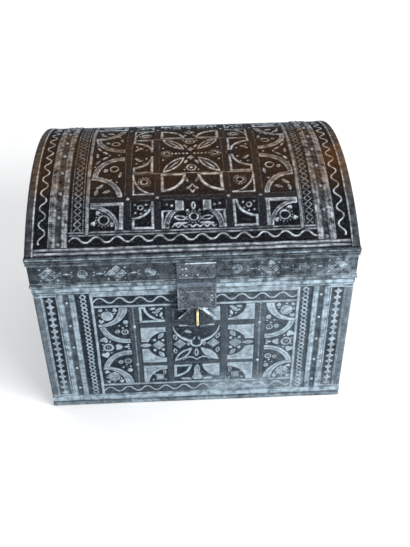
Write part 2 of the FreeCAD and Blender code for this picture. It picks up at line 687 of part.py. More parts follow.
def lid_frame():
    """Rails, arched end boards and the staves of the dome."""
    inside = "(%s - Sizes.rail_thick)" % LID_HALF_DEPTH
    arch = "sqrt((%s) * (%s) - %s * %s)" % (STAVE_INNER, STAVE_INNER, inside, inside)
    inner_top = "%s + %s - Sizes.box_height" % (DOME_CENTRE, arch)
    step_in = "%s - (%s) * sin(%s)" % (LID_HALF_DEPTH, STAVE_INNER, STAVE_REACH)
    step_top = "%s + (%s) * cos(%s) - Sizes.box_height" % (DOME_CENTRE, STAVE_INNER, STAVE_REACH)
    outer_top = "%s + (%s) * cos(%s) - Sizes.box_height" % (DOME_CENTRE, STAVE_OUTER, STAVE_REACH)
    for side in (FRONT, BACK):
        body = new_body("lid_%s_rail" % side.name)
        sketch = new_sketch(body, "YZ_Plane")
        outline(sketch, [("0", "0"), (size("rail_thick"), "0"), (size("rail_thick"), inner_top),
                         (step_in, step_top), ("0", outer_top)])
        pad(body, sketch, "2 * " + LID_HALF_WIDTH, both_ways=True)
        side.put(body, LID_HALF_WIDTH, LID_HALF_DEPTH, size("box_height"))
        keep("lid_%s_rail" % side.name, body)
    for side in (LEFT, RIGHT):
        body = new_body("lid_%s_end" % side.name)
        sketch = new_sketch(body, "YZ_Plane")
        rise = "(%s) - %s" % (STAVE_INNER, arch)
        outline(sketch, [("0 - " + inside, "0"), (inside, "0"), (inside, inner_top),
                         ("0 - " + inside, inner_top)], {2: ("2 * " + inside, rise)})
        pad(body, sketch, size("end_thick"))
        x = "0 - " + LID_HALF_WIDTH if side is LEFT else "%s - Sizes.end_thick" % LID_HALF_WIDTH
        place(body, x, "0", size("box_height"))
        keep("lid_%s_end" % side.name, body)
    for index in range(STAVES):
        body = new_body("lid_stave_%d" % (index + 1))
        sketch = new_sketch(body, "XZ_Plane")
        end = LID_HALF_WIDTH
        outline(sketch, [("0 - " + end, STAVE_INNER), (end, STAVE_INNER), (end, STAVE_OUTER),
                         ("0 - " + end, STAVE_OUTER)])
        turn(body, sketch, "%s / %d" % (STAVE_REACH, STAVES))
        steps = index - (STAVES - 1) / 2
        tilt = "(%g * 2 * %s / %d)" % (-steps, STAVE_REACH, STAVES)
        place(body, "0", "0", DOME_CENTRE, Rotation(Vector(1, 0, 0), number(tilt)))
        keep("lid_stave_%d" % (index + 1), body)


def dome_piece(node, points, arcs=None, trim=False):
    """Piece bent over the dome, from its section: places along X, and radii."""
    body = new_body(node)
    sketch = new_sketch(body, "XZ_Plane")
    outline(sketch, points, arcs)
    turn(body, sketch, SKIN_REACH)
    if trim:
        below = new_sketch(body, "XY_Plane")
        wide, deep = LID_WIDTH, LID_DEPTH
        outline(below, [("0 - " + wide, "0 - " + deep), (wide, "0 - " + deep), (wide, deep),
                        ("0 - " + wide, deep)])
        pocket(body, below, "%s - (%s)" % (RIM_TOP, DOME_CENTRE), reverse=True)
    return place(body, "0", "0", DOME_CENTRE)


def over_dome(share):
    """Turn that brings +Z to a share of the half arc: 0 at the front edge, 1 at the crown."""
    return Rotation(Vector(1, 0, 0), (1 - share) * number(SKIN_REACH))


class CrownForms:
    """Embossed forms on the crown sheet, the same in front of the crown and behind it."""

    def __init__(self):
        self.shapes = []

    def x(self, share):
        """Place along the crown."""
        return "%g * %s" % (share, CROWN_HALF)

    def bent(self, name, points, arc):
        """Section turned over the dome between shares of the arc."""
        body = new_body(name)
        sketch = new_sketch(body, "XZ_Plane")
        outline(sketch, points)
        turn(body, sketch, "%g * %s" % ((arc[1] - arc[0]) / 2, SKIN_REACH))
        return place(body, "0", "0", DOME_CENTRE, over_dome(sum(arc) / 2))

    def patch(self, columns, arc):
        """Raised patch between shares."""
        left, right = [self.x(share) for share in sorted(columns)]
        inner, outer = SKIN_OUTER + " - Sizes.sheet_thick / 2", SKIN_OUTER + " + Sizes.emboss_rise"
        return self.bent("crown_patch", [(left, inner), (right, inner), (right, outer), (left, outer)], arc)

    def sector(self, arc, columns):
        """The sheet between shares of the arc, raised in columns: their edges and their rise."""
        points = [("0 - " + CROWN_HALF, SKIN_INNER), (CROWN_HALF, SKIN_INNER), (CROWN_HALF, SKIN_OUTER)]
        for left, right, rise in reversed(columns):
            top = "%s + Sizes.%s" % (SKIN_OUTER, rise)
            points += [(right, SKIN_OUTER), (right, top), (left, top), (left, SKIN_OUTER)]
        points.append(("0 - " + CROWN_HALF, SKIN_OUTER))
        return self.bent("crown_sector", points, arc)

    def post(self, x, share, radius):
        """Round tool that stands out of the dome at a share of the arc."""
        return rod("crown_round", radius, DOME_RADIUS, (x, "0", DOME_CENTRE), over_dome(share))

    def sheet(self):
        """The sheet with its strips and scored bars, one sector for each row or crossbar."""
        half = size("line_width / 2")
        strips = [("%s - %s" % (self.x(share), half), "%s + %s" % (self.x(share), half), "emboss_rise")
                  for share in CROWN_STRIP_SHARES]
        pairs = [sorted(pair) for pair in CROWN_POST_SHARES + CROWN_BAR_SHARES]
        bars = [(self.x(low), self.x(high), "bar_rise") for low, high in sorted(pairs)]
        crossbar = [(self.x(CROWN_TALL_SHARES[0][0]), self.x(CROWN_TALL_SHARES[1][0]), "bar_rise")]
        rail = [(self.x(CROWN_SQUARE_SHARES[0][0]), self.x(CROWN_SQUARE_SHARES[1][0]), "emboss_rise")]
        first, second, third = CROWN_ROW_SHARES
        rows = [(0, first[0], None), (*first, bars), (first[1], second[0], crossbar), (*second, bars),
                (second[1], third[0], [bars[0], *rail, bars[-1]])]
        whole = [(third[0], 2 - third[0], bars)]
        back = [(2 - high, 2 - low, columns) for low, high, columns in rows]
        for low, high, columns in rows + whole + back:
            raised = [strips[0], *columns, strips[1]] if columns else []
            self.shapes.append(self.sector((low, high), raised))

    def side(self, mirror):
        """Forms of one side of the crown; mirror turns a share of the front's arc into this side's."""
        first, second, third = CROWN_ROW_SHARES
        for outer, inner in CROWN_SQUARE_SHARES:
            for row, column, level in ((first, outer, first[1]), (second, inner, second[1]),
                                       (third, outer, third[1])):
                radius = size("crown_bowl" if row is second else "square_cut")
                tool = self.post(self.x(column), mirror(level)[0], radius)
                self.shapes.append(cut("crown_square", self.patch((outer, inner), mirror(*row)), tool))
        for outer, inner in CROWN_TALL_SHARES:
            self.corner_frame(outer, inner, mirror(*first), mirror)
            wide = self.post(self.x(inner), mirror(second[1])[0], size("band_radius + band_width"))
            hollow = self.post(self.x(inner), mirror(second[1])[0], size("band_radius"))
            part = common("crown_sector", self.patch((outer, inner), mirror(*second)), wide)
            self.shapes.append(cut("crown_band", part, hollow))
        self.middle(mirror)

    def corner_frame(self, outer, inner, arc, mirror):
        """Frame along the upper and the inner edge of a cell."""
        body = self.patch((outer, inner), arc)
        width = "Sizes.frame_width / %s" % CROWN_HALF
        step = math.copysign(number(width), inner - outer)
        height = math.degrees(number("Sizes.frame_width / %s" % SKIN_OUTER)) / number(SKIN_REACH)
        low, high = CROWN_ROW_SHARES[0]
        hollow = self.patch((outer - step, inner - step), mirror(low - height, high - height))
        self.shapes.append(cut("crown_frame", body, hollow))

    def middle(self, mirror):
        """Blocks over the half flower, quarter bowls and the petals of the flower at the crown."""
        left, right = CROWN_BAR_SHARES[0][1], CROWN_BAR_SHARES[1][1]
        centre, (low, high) = (left + right) / 2, CROWN_ROW_SHARES[1]
        for sign, corner in ((-1, left), (1, right)):
            near, far = CROWN_BLOCK_SHARES
            pair = (centre + sign * near, centre + sign * far)
            self.shapes.append(self.patch(pair, mirror(CROWN_BLOCK_LEVEL_SHARE, CROWN_ROW_SHARES[0][1])))
            bowl = self.post(self.x(corner), mirror(high)[0], size("crown_bowl"))
            self.shapes.append(common("crown_quarter", self.patch((centre, corner), mirror(low, high)), bowl))
            across, level = CROWN_FLOWER_SHARES
            lean = sign * CROWN_FLOWER_TILT * (-1 if mirror(0)[0] == 0 else 1)
            tool = petal("crown_lens", "XY_Plane", "flower_length", "flower_width", DOME_RADIUS)
            place(tool, self.x(centre + sign * across), "0", DOME_CENTRE,
                  over_dome(mirror(level)[0]).multiply(Rotation(Vector(0, 0, 1), lean)))
            room = self.patch((centre, corner), mirror(CROWN_ROW_SHARES[2][0], 1))
            self.shapes.append(common("crown_petal", room, tool))

    def emboss(self):
        """The sheet with its forms. Its sectors stay apart as faces, which keeps each face simple."""
        self.sheet()
        self.side(lambda *shares: shares)
        self.side(lambda *shares: tuple(2 - share for share in reversed(shares)))
        whole = fuse("lid_crown_sheet", self.shapes)
        whole.Refine = False
        return whole


def dome_covering():
    """Crown sheet, edge sheets with their folded strip, seam mouldings and end sheets."""
    seam = CROWN_HALF
    keep("lid_crown_sheet", CrownForms().emboss())
    face = "%s + Sizes.sheet_thick" % LID_HALF_WIDTH
    edge = size("lid_width / 2")
    ridge = size("lid_width / 2 - edge_width")
    fold = "%s - Sizes.edge_lap" % SKIN_INNER
    right = [(seam, SKIN_INNER), (face, SKIN_INNER), (face, fold), (edge, fold),
             (edge, "%s - Sizes.edge_bevel" % DOME_RADIUS), (edge + " - Sizes.edge_bevel", DOME_RADIUS),
             (ridge + " + Sizes.bead_rise", DOME_RADIUS), (ridge, SKIN_OUTER), (seam, SKIN_OUTER)]
    left = [("0 - (%s)" % x, radius) for x, radius in reversed(right)]
    keep("lid_right_edge_sheet", dome_piece("lid_right_edge_sheet", right, trim=True))
    keep("lid_left_edge_sheet", dome_piece("lid_left_edge_sheet", left, trim=True))
    for name, sign in (("left", "-1"), ("right", "1")):
        body = new_body("lid_%s_seam_moulding" % name)
        sketch = new_sketch(body, "XZ_Plane")
        seam_outline(sketch, "%s * %s" % (sign, seam), SKIN_OUTER)
        turn(body, sketch, SKIN_REACH)
        place(body, "0", "0", DOME_CENTRE)
        keep("lid_%s_seam_moulding" % name, body)
    level = "(%s - (%s))" % (RIM_TOP, DOME_CENTRE)
    half = "sqrt((%s) * (%s) - %s * %s)" % (STAVE_OUTER, STAVE_OUTER, level, level)
    for name in ("left", "right"):
        body = new_body("lid_%s_lunette_sheet" % name)
        sketch = new_sketch(body, "YZ_Plane")
        arc = ("2 * " + half, "%s - %s" % (STAVE_OUTER, level))
        outline(sketch, [("0 - " + half, "0"), (half, "0")], {1: arc})
        pad(body, sketch, size("sheet_thick"))
        x = LID_HALF_WIDTH if name == "right" else "0 - %s - Sizes.sheet_thick" % LID_HALF_WIDTH
        place(body, x, "0", RIM_TOP)
        keep("lid_%s_lunette_sheet" % name, body)


def rim_bands():
    """Rim of the lid: roped bead, flat engraved band and cornice beads, one mitred strip a side."""
    skin, rise = size("sheet_thick"), size("bead_rise")
    hollow = size("sheet_thick + bead_rise - cornice_rise")
    bead, flat = size("cornice_bead"), size("rim_height - rope_bead - 3 * cornice_bead")
    top = size("cornice_rise")
    for side in SIDES:
        steps = [(bead, hollow, hollow, top), (bead, hollow, hollow, top), (bead, hollow, hollow, top),
                 (flat, skin, skin, None), (size("rope_bead"), skin, skin, rise)]
        moulding("lid_%s_band" % side.name, side, (LID_HALF_WIDTH, LID_HALF_DEPTH), size("box_height"),
                 steps, size("rope_bead") if side is BACK else None)


def butt_hinges():
    """Two butt hinges: a leaf on the box with outer knuckles, a leaf on the lid, and a pin."""
    third = size("(hinge_width - 2 * free_gap) / 3")
    clear = size("barrel_radius + free_gap")
    box_face = size("box_depth / 2 - bead_rise")
    lid_face = size("lid_depth / 2 - bead_rise")
    for name, sign in (("left", "-1"), ("right", "1")):
        west = "%s * %s - Sizes.hinge_width / 2" % (sign, HINGE_PLACE)
        knuckles = [west, "%s + Sizes.hinge_width - %s" % (west, third)]
        middle = "%s + %s + Sizes.free_gap" % (west, third)
        blank = [block("box_leaf_plate", (west, box_face, size("hinge_z - hinge_drop")),
                       (size("hinge_width"), size("leaf_thick"), size("hinge_drop") + " - " + clear))]
        for start in knuckles:
            blank.append(rod("box_knuckle", size("barrel_radius"), third, (start, HINGE_Y, HINGE_Z), ALONG_X))
            blank.append(block("box_web", (start, box_face, "%s - %s" % (HINGE_Z, clear)),
                               (third, "%s - %s" % (HINGE_Y, box_face), size("leaf_thick"))))
            shank = (start, size("hinge_y - leaf_thick"), "%s - %s" % (HINGE_Z, clear))
            blank.append(block("box_shank", shank, (third, size("leaf_thick"), clear)))
        bore = rod("box_leaf_bore", size("hinge_pin + running"), size("hinge_width + 2 * overrun"),
                   ("%s - Sizes.overrun" % west, HINGE_Y, HINGE_Z), ALONG_X)
        keep(name + "_hinge_box_leaf", cut(name + "_hinge_box_leaf", fuse("box_leaf_blank", blank), bore))
        blank = [
            block("lid_leaf_plate", (west, lid_face, "%s + %s" % (HINGE_Z, clear)),
                  (size("hinge_width"), size("leaf_thick"), size("hinge_drop") + " - " + clear)),
            rod("lid_knuckle", size("barrel_radius"), third, (middle, HINGE_Y, HINGE_Z), ALONG_X),
            block("lid_shank", (middle, lid_face + " + Sizes.free_gap", HINGE_Z),
                  (third, size("leaf_thick - free_gap"), clear)),
        ]
        bore = rod("lid_leaf_bore", size("hinge_pin + running"), size("hinge_width + 2 * overrun"),
                   ("%s - Sizes.overrun" % west, HINGE_Y, HINGE_Z), ALONG_X)
        keep(name + "_hinge_lid_leaf", cut(name + "_hinge_lid_leaf", fuse("lid_leaf_blank", blank), bore))
        keep(name + "_hinge_pin", rod(name + "_hinge_pin", size("hinge_pin"), size("hinge_width"),
                                      (west, HINGE_Y, HINGE_Z), ALONG_X))


def hasp():
    """Hasp plate with its outer knuckles, the pin, and the leaf with its forked lozenge tongue."""
    west = size("hasp_shift - hasp_width / 2")
    third = size("(hasp_width - 2 * free_gap) / 3")
    face = size("0 - lid_depth / 2 + bead_rise")
    shelf = size("box_height + rope_bead + running")
    reach = "%s - %s" % (face, HASP_Y)
    blank = [block("hasp_plate_sheet", (west, "%s - Sizes.hasp_thick" % face, shelf),
                   (size("hasp_width"), size("hasp_thick"), size("plate_height")))]
    for start in (west, size("hasp_shift + hasp_width / 2") + " - " + third):
        blank.append(rod("plate_knuckle", size("hasp_barrel"), third, (start, HASP_Y, HASP_Z), ALONG_X))
        blank.append(block("plate_web", (start, HASP_Y, shelf), (third, reach, size("hasp_thick"))))
        blank.append(block("plate_neck", (start, HASP_Y, HASP_Z),
                           (third, size("hasp_thick"), "%s - %s" % (shelf, HASP_Z))))
    bore = rod("plate_bore", size("hasp_pin + running"), size("hasp_width + 2 * overrun"),
               (west + " - Sizes.overrun", HASP_Y, HASP_Z), ALONG_X)
    keep("hasp_plate", cut("hasp_plate", fuse("hasp_plate_blank", blank), bore))
    keep("hasp_pin", rod("hasp_pin", size("hasp_pin"), size("hasp_width"), (west, HASP_Y, HASP_Z), ALONG_X))
    leaf_front(third)


def leaf_front(third):
    """Leaf of the hasp: flat plate, notched lozenge tongue, slot open at the tip, rolled lips."""
    half, waist, slot = size("hasp_width / 2"), size("tongue_waist / 2"), size("staple_rod + slot_side")
    tip, head = LEAF_TIP, LEAF_HEAD
    neck = "%s + Sizes.tongue_height" % tip
    wide = "%s + %s" % (tip, size("tongue_height * %g" % LOZENGE_SHARE))
    roof = size("staple_high + staple_rod + slot_roof")
    body = new_body("leaf_plate")
    sketch = new_sketch(body, "XZ_Plane")
    minus = "0 - %s"
    outline(sketch, [
        (slot, tip), (waist, tip), (half, wide), (waist, neck), (half, neck), (half, head),
        (minus % half, head), (minus % half, neck), (minus % waist, neck), (minus % half, wide),
        (minus % waist, tip), (minus % slot, tip), (minus % slot, roof), (slot, roof),
    ])
    pad(body, sketch, size("hasp_thick"))
    place(body, size("hasp_shift"), LEAF_BACK, "0")
    middle = size("hasp_shift - hasp_width / 6 + free_gap / 3")
    blank = [
        body,
        rod("leaf_knuckle", size("hasp_barrel"), third, (middle, HASP_Y, HASP_Z), ALONG_X),
        block("leaf_neck", (middle, LEAF_BACK + " - Sizes.hasp_thick", head),
              (third, size("hasp_thick"), "%s - %s" % (HASP_Z, head))),
    ]
    for start in (slot, minus % waist):
        blank.append(rod("leaf_lip", size("lip_radius"), "%s - %s" % (waist, slot),
                         ("Sizes.hasp_shift + " + start, LEAF_BACK + " - Sizes.hasp_thick",
                          tip + " + Sizes.lip_radius"), ALONG_X))
    bore = rod("leaf_bore", size("hasp_pin + running"), size("hasp_width + 2 * overrun"),
               (size("hasp_shift - hasp_width / 2 - overrun"), HASP_Y, HASP_Z), ALONG_X)
    keep("hasp_leaf", cut("hasp_leaf", fuse("hasp_leaf_blank", blank), bore))


def staple():
    """Staple of bent rod with two legs in the front board, and the plate under it."""
    legs, middle = staple_legs(), size("hasp_shift")
    outer = size("leaf_back - hasp_thick - staple_reach + staple_rod")
    bend = size("staple_bend")
    board = "0 - %s + Sizes.staple_bed" % BOX_HALF_DEPTH
    straight = "%s - (%s) - %s" % (board, outer, bend)
    turns = [Rotation(Vector(0, 0, -1), Vector(0, -1, 0), Vector(-1, 0, 0), "ZXY"),
             Rotation(Vector(0, -1, 0), Vector(0, 0, 1), Vector(-1, 0, 0), "ZXY")]
    shapes = [rod("staple_bar", size("staple_rod"), "%s - %s - 2 * %s" % (legs[1], legs[0], bend),
                  (middle, outer, "%s + %s" % (legs[0], bend)))]
    for level, sign, rotation in zip(legs, ("+", "-"), turns):
        shapes.append(rod("staple_leg", size("staple_rod"), straight,
                          (middle, "%s + %s" % (outer, bend), level), ALONG_Y))
        corner = doc.addObject("Part::Torus", "staple_corner")
        corner.Angle3 = 90
        bind(corner, Radius1=bend, Radius2=size("staple_rod"))
        place(corner, middle, "%s + %s" % (outer, bend), "%s %s %s" % (level, sign, bend), rotation)
        shapes.append(corner)
    keep("staple", fuse("staple", shapes))
    body = new_body("staple_plate")
    sketch = new_sketch(body, "XZ_Plane")
    wide, tall = size("escutcheon_width / 2"), size("escutcheon_height / 2")
    outline(sketch, [("0 - " + wide, "0 - " + tall), (wide, "0 - " + tall), (wide, tall),
                     ("0 - " + wide, tall)])
    for level in legs:
        hole(sketch, "0", "%s - %s" % (level, PLATE_MIDDLE), size("staple_rod + running"))
    pad(body, sketch, size("escutcheon_thick"))
    place(body, middle, PANEL_FACE, PLATE_MIDDLE)
    keep("staple_plate", body)


def domed_head(spot, out, share=1.0):
    """Domed head seated at a point, facing out."""
    radius, rise = share * number(size("nail_radius")), share * number(size("nail_rise"))
    ball = (radius * radius + rise * rise) / (2 * rise)
    base = math.degrees(math.asin((ball - rise) / ball))
    return Part.makeSphere(ball, spot - out * (ball - rise), out, base, 90, 360)


def along(length):
    """Places of the nails along a moulding of this length, evenly spaced and centred."""
    margin, pitch = number(size("nail_margin")), number(size("nail_pitch"))
    gaps = max(1, round((length - 2 * margin) / pitch))
    return [margin + (length - 2 * margin) * index / gaps for index in range(gaps + 1)]


def keep_heads(node, heads):
    """Domed heads as one node of separate solids."""
    piece = doc.addObject("Part::Feature", node)
    piece.Shape = Part.makeCompound(heads)
    keep(node, piece)


def box_nails():
    """Nails of the box's seams and of the front panel's bars, and the rivets of its hinge leaves."""
    heads = []
    seat = number(size("sheet_thick + strip_thick"))
    half_width, half_depth = number(BOX_HALF_WIDTH), number(BOX_HALF_DEPTH)
    inset, bottom = number(size("seam_inset")), number(BASE_TOP)
    for side in SIDES:
        out = side.rotation.multVec(Vector(0, -1, 0))
        across = side.rotation.multVec(Vector(1, 0, 0))
        face = half_depth if side.x_sign == 0 else half_width
        half = number(side.half_length(size("box_width / 2"), size("box_depth / 2")))
        for sign in (-1, 1):
            for level in along(number(FIELD_HEIGHT)):
                spot = out * (face + seat) + across * (sign * (half - inset)) + Vector(0, 0, bottom + level)
                heads.append(domed_head(spot, out))
    skin = number(size("box_depth / 2 - bead_rise"))
    bar = -skin - number(size("bar_rise"))
    for across_share in BAR_PLACE_SHARES:
        for share in BAR_LEVEL_SHARES:
            spot = Vector(across_share * number(PANEL_HALF), bar, bottom + share * number(FIELD_HEIGHT))
            heads.append(domed_head(spot, Vector(0, -1, 0)))
    for sign in (-1, 1):
        for across_share, down_share in LEAF_RIVET_SHARES:
            spot = Vector(sign * number(HINGE_PLACE) + across_share * number(size("hinge_width")),
                          skin + number(size("leaf_thick")),
                          number(HINGE_Z) - down_share * number(size("hinge_drop")))
            heads.append(domed_head(spot, Vector(0, 1, 0), RIVET_SHARE))
    keep_heads("box_nails", heads)


def lid_nails():
    """Nails of the lid's seams, and the rivets of the hasp plate and of its hinge leaves."""
    heads = []
    ball, centre = number(SKIN_OUTER) + number(size("strip_thick")), number(DOME_CENTRE)
    reach = math.radians(number(SKIN_REACH))
    for sign in (-1, 1):
        for place_along in along(2 * reach * ball):
            angle = place_along / ball - reach
            out = Vector(0, math.sin(angle), math.cos(angle))
            spot = Vector(sign * number(size("lid_width / 2 - seam_inset")), 0, centre) + out * ball
            heads.append(domed_head(spot, out))
    skin = number(size("lid_depth / 2 - bead_rise"))
    plate = number(size("box_height + rope_bead + running"))
    for across_share, up_share in PLATE_RIVET_SHARES:
        spot = Vector(number(size("hasp_shift")) + across_share * number(size("hasp_width")),
                      -skin - number(size("hasp_thick")),
                      plate + up_share * number(size("plate_height")))
        heads.append(domed_head(spot, Vector(0, -1, 0), RIVET_SHARE))
    for sign in (-1, 1):
        for across_share, up_share in LEAF_RIVET_SHARES:
            spot = Vector(sign * number(HINGE_PLACE) + across_share * number(size("hinge_width")),
                          skin + number(size("leaf_thick")),
                          number(HINGE_Z) + up_share * number(size("hinge_drop")))
            heads.append(domed_head(spot, Vector(0, 1, 0), RIVET_SHARE))
    keep_heads("lid_nails", heads)


def write_parts():
    """Checks every object and sub-part, then writes one file for each sub-part."""
    doc.recompute()
    failed = [one.Label for one in doc.Objects if {"Invalid", "Error"} & set(one.State)]
    if failed:
        raise ValueError("failed objects: " + ", ".join(failed))
    for node, piece in PIECES.items():
        if piece.Shape.isNull() or not piece.Shape.isValid() or not piece.Shape.Solids:
            raise ValueError("no sound solid in " + node)
    os.makedirs("parts", exist_ok=True)
    for node, piece in PIECES.items():
        piece.Shape.exportStep("parts/%s.step" % node)
    print(len(PIECES), "sub-parts written")


box_boards()
box_sheets()
seam_mouldings()
box_mouldings()
lid_frame()
dome_covering()
rim_bands()
butt_hinges()
hasp()
staple()
box_nails()
lid_nails()
write_parts()
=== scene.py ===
"""Dresses a domed dowry chest: a wooden carcass under hand-embossed sheet metal.

Every sheet and moulding is drawn as a relief on a fine grid, in millimetres, and then laid on the box,
on the dome or round a corner. The same drawing gives the heights and the places where the patina is rubbed.
"""

import logging
import math
from collections.abc import Callable, Sequence
from dataclasses import dataclass, field
from enum import Enum
from functools import partial, reduce

import bpy
import numpy as np
from mathutils import Matrix, Vector


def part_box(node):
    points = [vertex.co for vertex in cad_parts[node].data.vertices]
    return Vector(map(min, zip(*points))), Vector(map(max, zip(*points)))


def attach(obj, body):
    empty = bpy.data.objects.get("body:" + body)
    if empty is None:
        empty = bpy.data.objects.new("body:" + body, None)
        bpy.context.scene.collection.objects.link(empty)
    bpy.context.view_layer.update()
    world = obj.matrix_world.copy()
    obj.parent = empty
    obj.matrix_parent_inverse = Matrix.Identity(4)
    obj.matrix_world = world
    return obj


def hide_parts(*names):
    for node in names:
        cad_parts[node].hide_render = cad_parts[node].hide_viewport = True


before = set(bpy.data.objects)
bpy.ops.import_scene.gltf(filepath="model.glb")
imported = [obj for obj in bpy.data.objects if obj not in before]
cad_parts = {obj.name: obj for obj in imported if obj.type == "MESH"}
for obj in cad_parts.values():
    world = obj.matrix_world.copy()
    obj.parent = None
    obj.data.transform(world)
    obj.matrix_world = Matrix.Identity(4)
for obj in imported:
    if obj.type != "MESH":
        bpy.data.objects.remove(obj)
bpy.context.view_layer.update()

LOG = logging.getLogger("dowry_chest")
MM = 0.001
FULL_TURN = 2 * math.pi
Grid = np.ndarray
Place = Callable[[Grid, Grid, Grid], Grid]
Ends = tuple[float, float]
BothSides = tuple[Ends, Ends]
Spot = tuple[float, ...]


def ease(share: Grid) -> Grid:
    """Turn a share into a smooth step from 0 to 1.

    Args:
        share: Values of which those under 0 become 0 and those over 1 become 1.

    Returns:
        The smoothed values.
    """
    held = np.clip(share, 0, 1)
    return held * held * (3 - 2 * held)


def cloud(x: Grid, z: Grid, size: float, seed: int) -> Grid:
    """Give a smooth random field, as a hand leaves in its work.

    Args:
        x: Places across, in millimetres.
        z: Places upwards, in millimetres.
        size: Distance from one bump to the next, in millimetres.
        seed: Number that fixes the draw.

    Returns:
        Values from 0 to 1.
    """
    across, up = (x - x.min()) / size, (z - z.min()) / size
    column, row = across.astype(int), up.astype(int)
    knots = np.random.default_rng(seed).random((row.max() + 2, column.max() + 2))
    right, above = ease(across - column), ease(up - row)
    low = knots[row, column] * (1 - right) + knots[row, column + 1] * right
    high = knots[row + 1, column] * (1 - right) + knots[row + 1, column + 1] * right
    return low * (1 - above) + high * above


def blur(values: Grid, rounds: int) -> Grid:
    """Average each value with its neighbours.

    Args:
        values: The grid to soften.
        rounds: How many times it is softened.

    Returns:
        The softened grid.
    """
    for _ in range(rounds):
        wide = np.pad(values, 1, mode="edge")
        values = (wide[:-2, 1:-1] + wide[2:, 1:-1] + wide[1:-1, :-2] + wide[1:-1, 2:] + values) / 5
    return values


def span(node: str) -> tuple[Grid, Grid]:
    """Give a construction node's lowest and highest corners, in millimetres."""
    low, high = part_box(node)
    return np.array(low) / MM, np.array(high) / MM


def overlap(*distances: Grid) -> Grid:
    """Distance from the edge of what lies inside every one of some shapes, negative inside."""
    return reduce(np.maximum, distances)


class Fill(Enum):
    """How a raised motif is worked."""

    SOLID = "one flat top"
    OUTLINE = "a raised edge round a sunk middle"
    DOUBLE = "a flat top with a line sunk along its edge"


SOLID, OUTLINE, DOUBLE = Fill


@dataclass
class Relief:
    """A sheet as the maker works it: heights and rubbing on a grid of millimetres.

    Args:
        x: Places across the sheet.
        z: Places up the sheet.
        seed: Number that fixes the hand's wobble.
        wobble: How far the drawing strays.
    """

    x: Grid
    z: Grid
    seed: int = 1
    wobble: float = 0.5
    height: Grid = field(init=False)
    rub: Grid = field(init=False)
    hatch: Grid = field(init=False)
    # Share of each point left free of painted shade.
    unshaded: Grid = field(init=False)

    WOBBLE_SIZE = 34.0
    DENT_SIZE = 11.0
    DENT_DEPTH = 0.16
    EDGE_REACH = 8.0
    EDGE_START = 0.1
    EDGE_HEIGHT = 0.38

    def __post_init__(self) -> None:
        """Start with a flat dark sheet."""
        self.height = np.zeros(self.x.shape)
        self.rub = np.zeros(self.x.shape)
        self.hatch = np.zeros(self.x.shape)
        self.unshaded = np.ones(self.x.shape)

    def pen(self) -> "Pen":
        """Give a pen whose lines stray a little, as a hand's do."""
        stray = [2 * self.cloud(self.WOBBLE_SIZE, self.seed + k) - 1 for k in range(2)]
        return Pen(self, self.x + self.wobble * stray[0], self.z + self.wobble * stray[1])

    def cloud(self, size: float, seed: int) -> Grid:
        """Give a smooth random field over the sheet, from 0 to 1."""
        return cloud(self.x, self.z, size, seed)

    def shape(self, heights: Grid, tone: Grid) -> None:
        """Lift the sheet to a section, as a moulding is rolled, and rub it to a tone."""
        self.height = np.maximum(self.height, heights)
        self.rub = np.maximum(self.rub, tone)

    def wear(self, amount: Grid) -> None:
        """Rub plain places pale, by an amount from 0 to 1 at each point."""
        self.rub = np.maximum(self.rub, amount)

    def paint_shade(self, amount: Grid) -> None:
        """Darken with painted shade: take away rubbing and edge wear, by an amount from 0 to 1 at each point.
        """
        self.rub = self.rub * (1 - amount)
        self.unshaded = self.unshaded * (1 - amount)

    def flatten(self, amount: Grid) -> None:
        """Beat the relief flat where another piece sits on it, by an amount from 0 to 1 at each point."""
        self.height = self.height * (1 - amount)

    def dent(self) -> None:
        """Leave the shallow dents of the hammer."""
        self.height = self.height + self.DENT_DEPTH * (self.cloud(self.DENT_SIZE, self.seed + 7) - 0.5)

    def edges(self) -> Grid:
        """Say how far each point stands over what is round it, from 0 to 1: where patina wears off, less
        where shade is painted.
        """
        middle = self.x.shape[1] // 2
        step = abs(self.x[0, middle + 1] - self.x[0, middle])
        over = self.height - blur(self.height, int(round(self.EDGE_REACH / max(step, 0.4))))
        return self.unshaded * np.clip((over - self.EDGE_START) / self.EDGE_HEIGHT, 0, 1)


RAISED = 1.35
LINE_HEIGHT = 1.0
SLOPE = 1.7
OUTLINE_WIDTH = 2.6


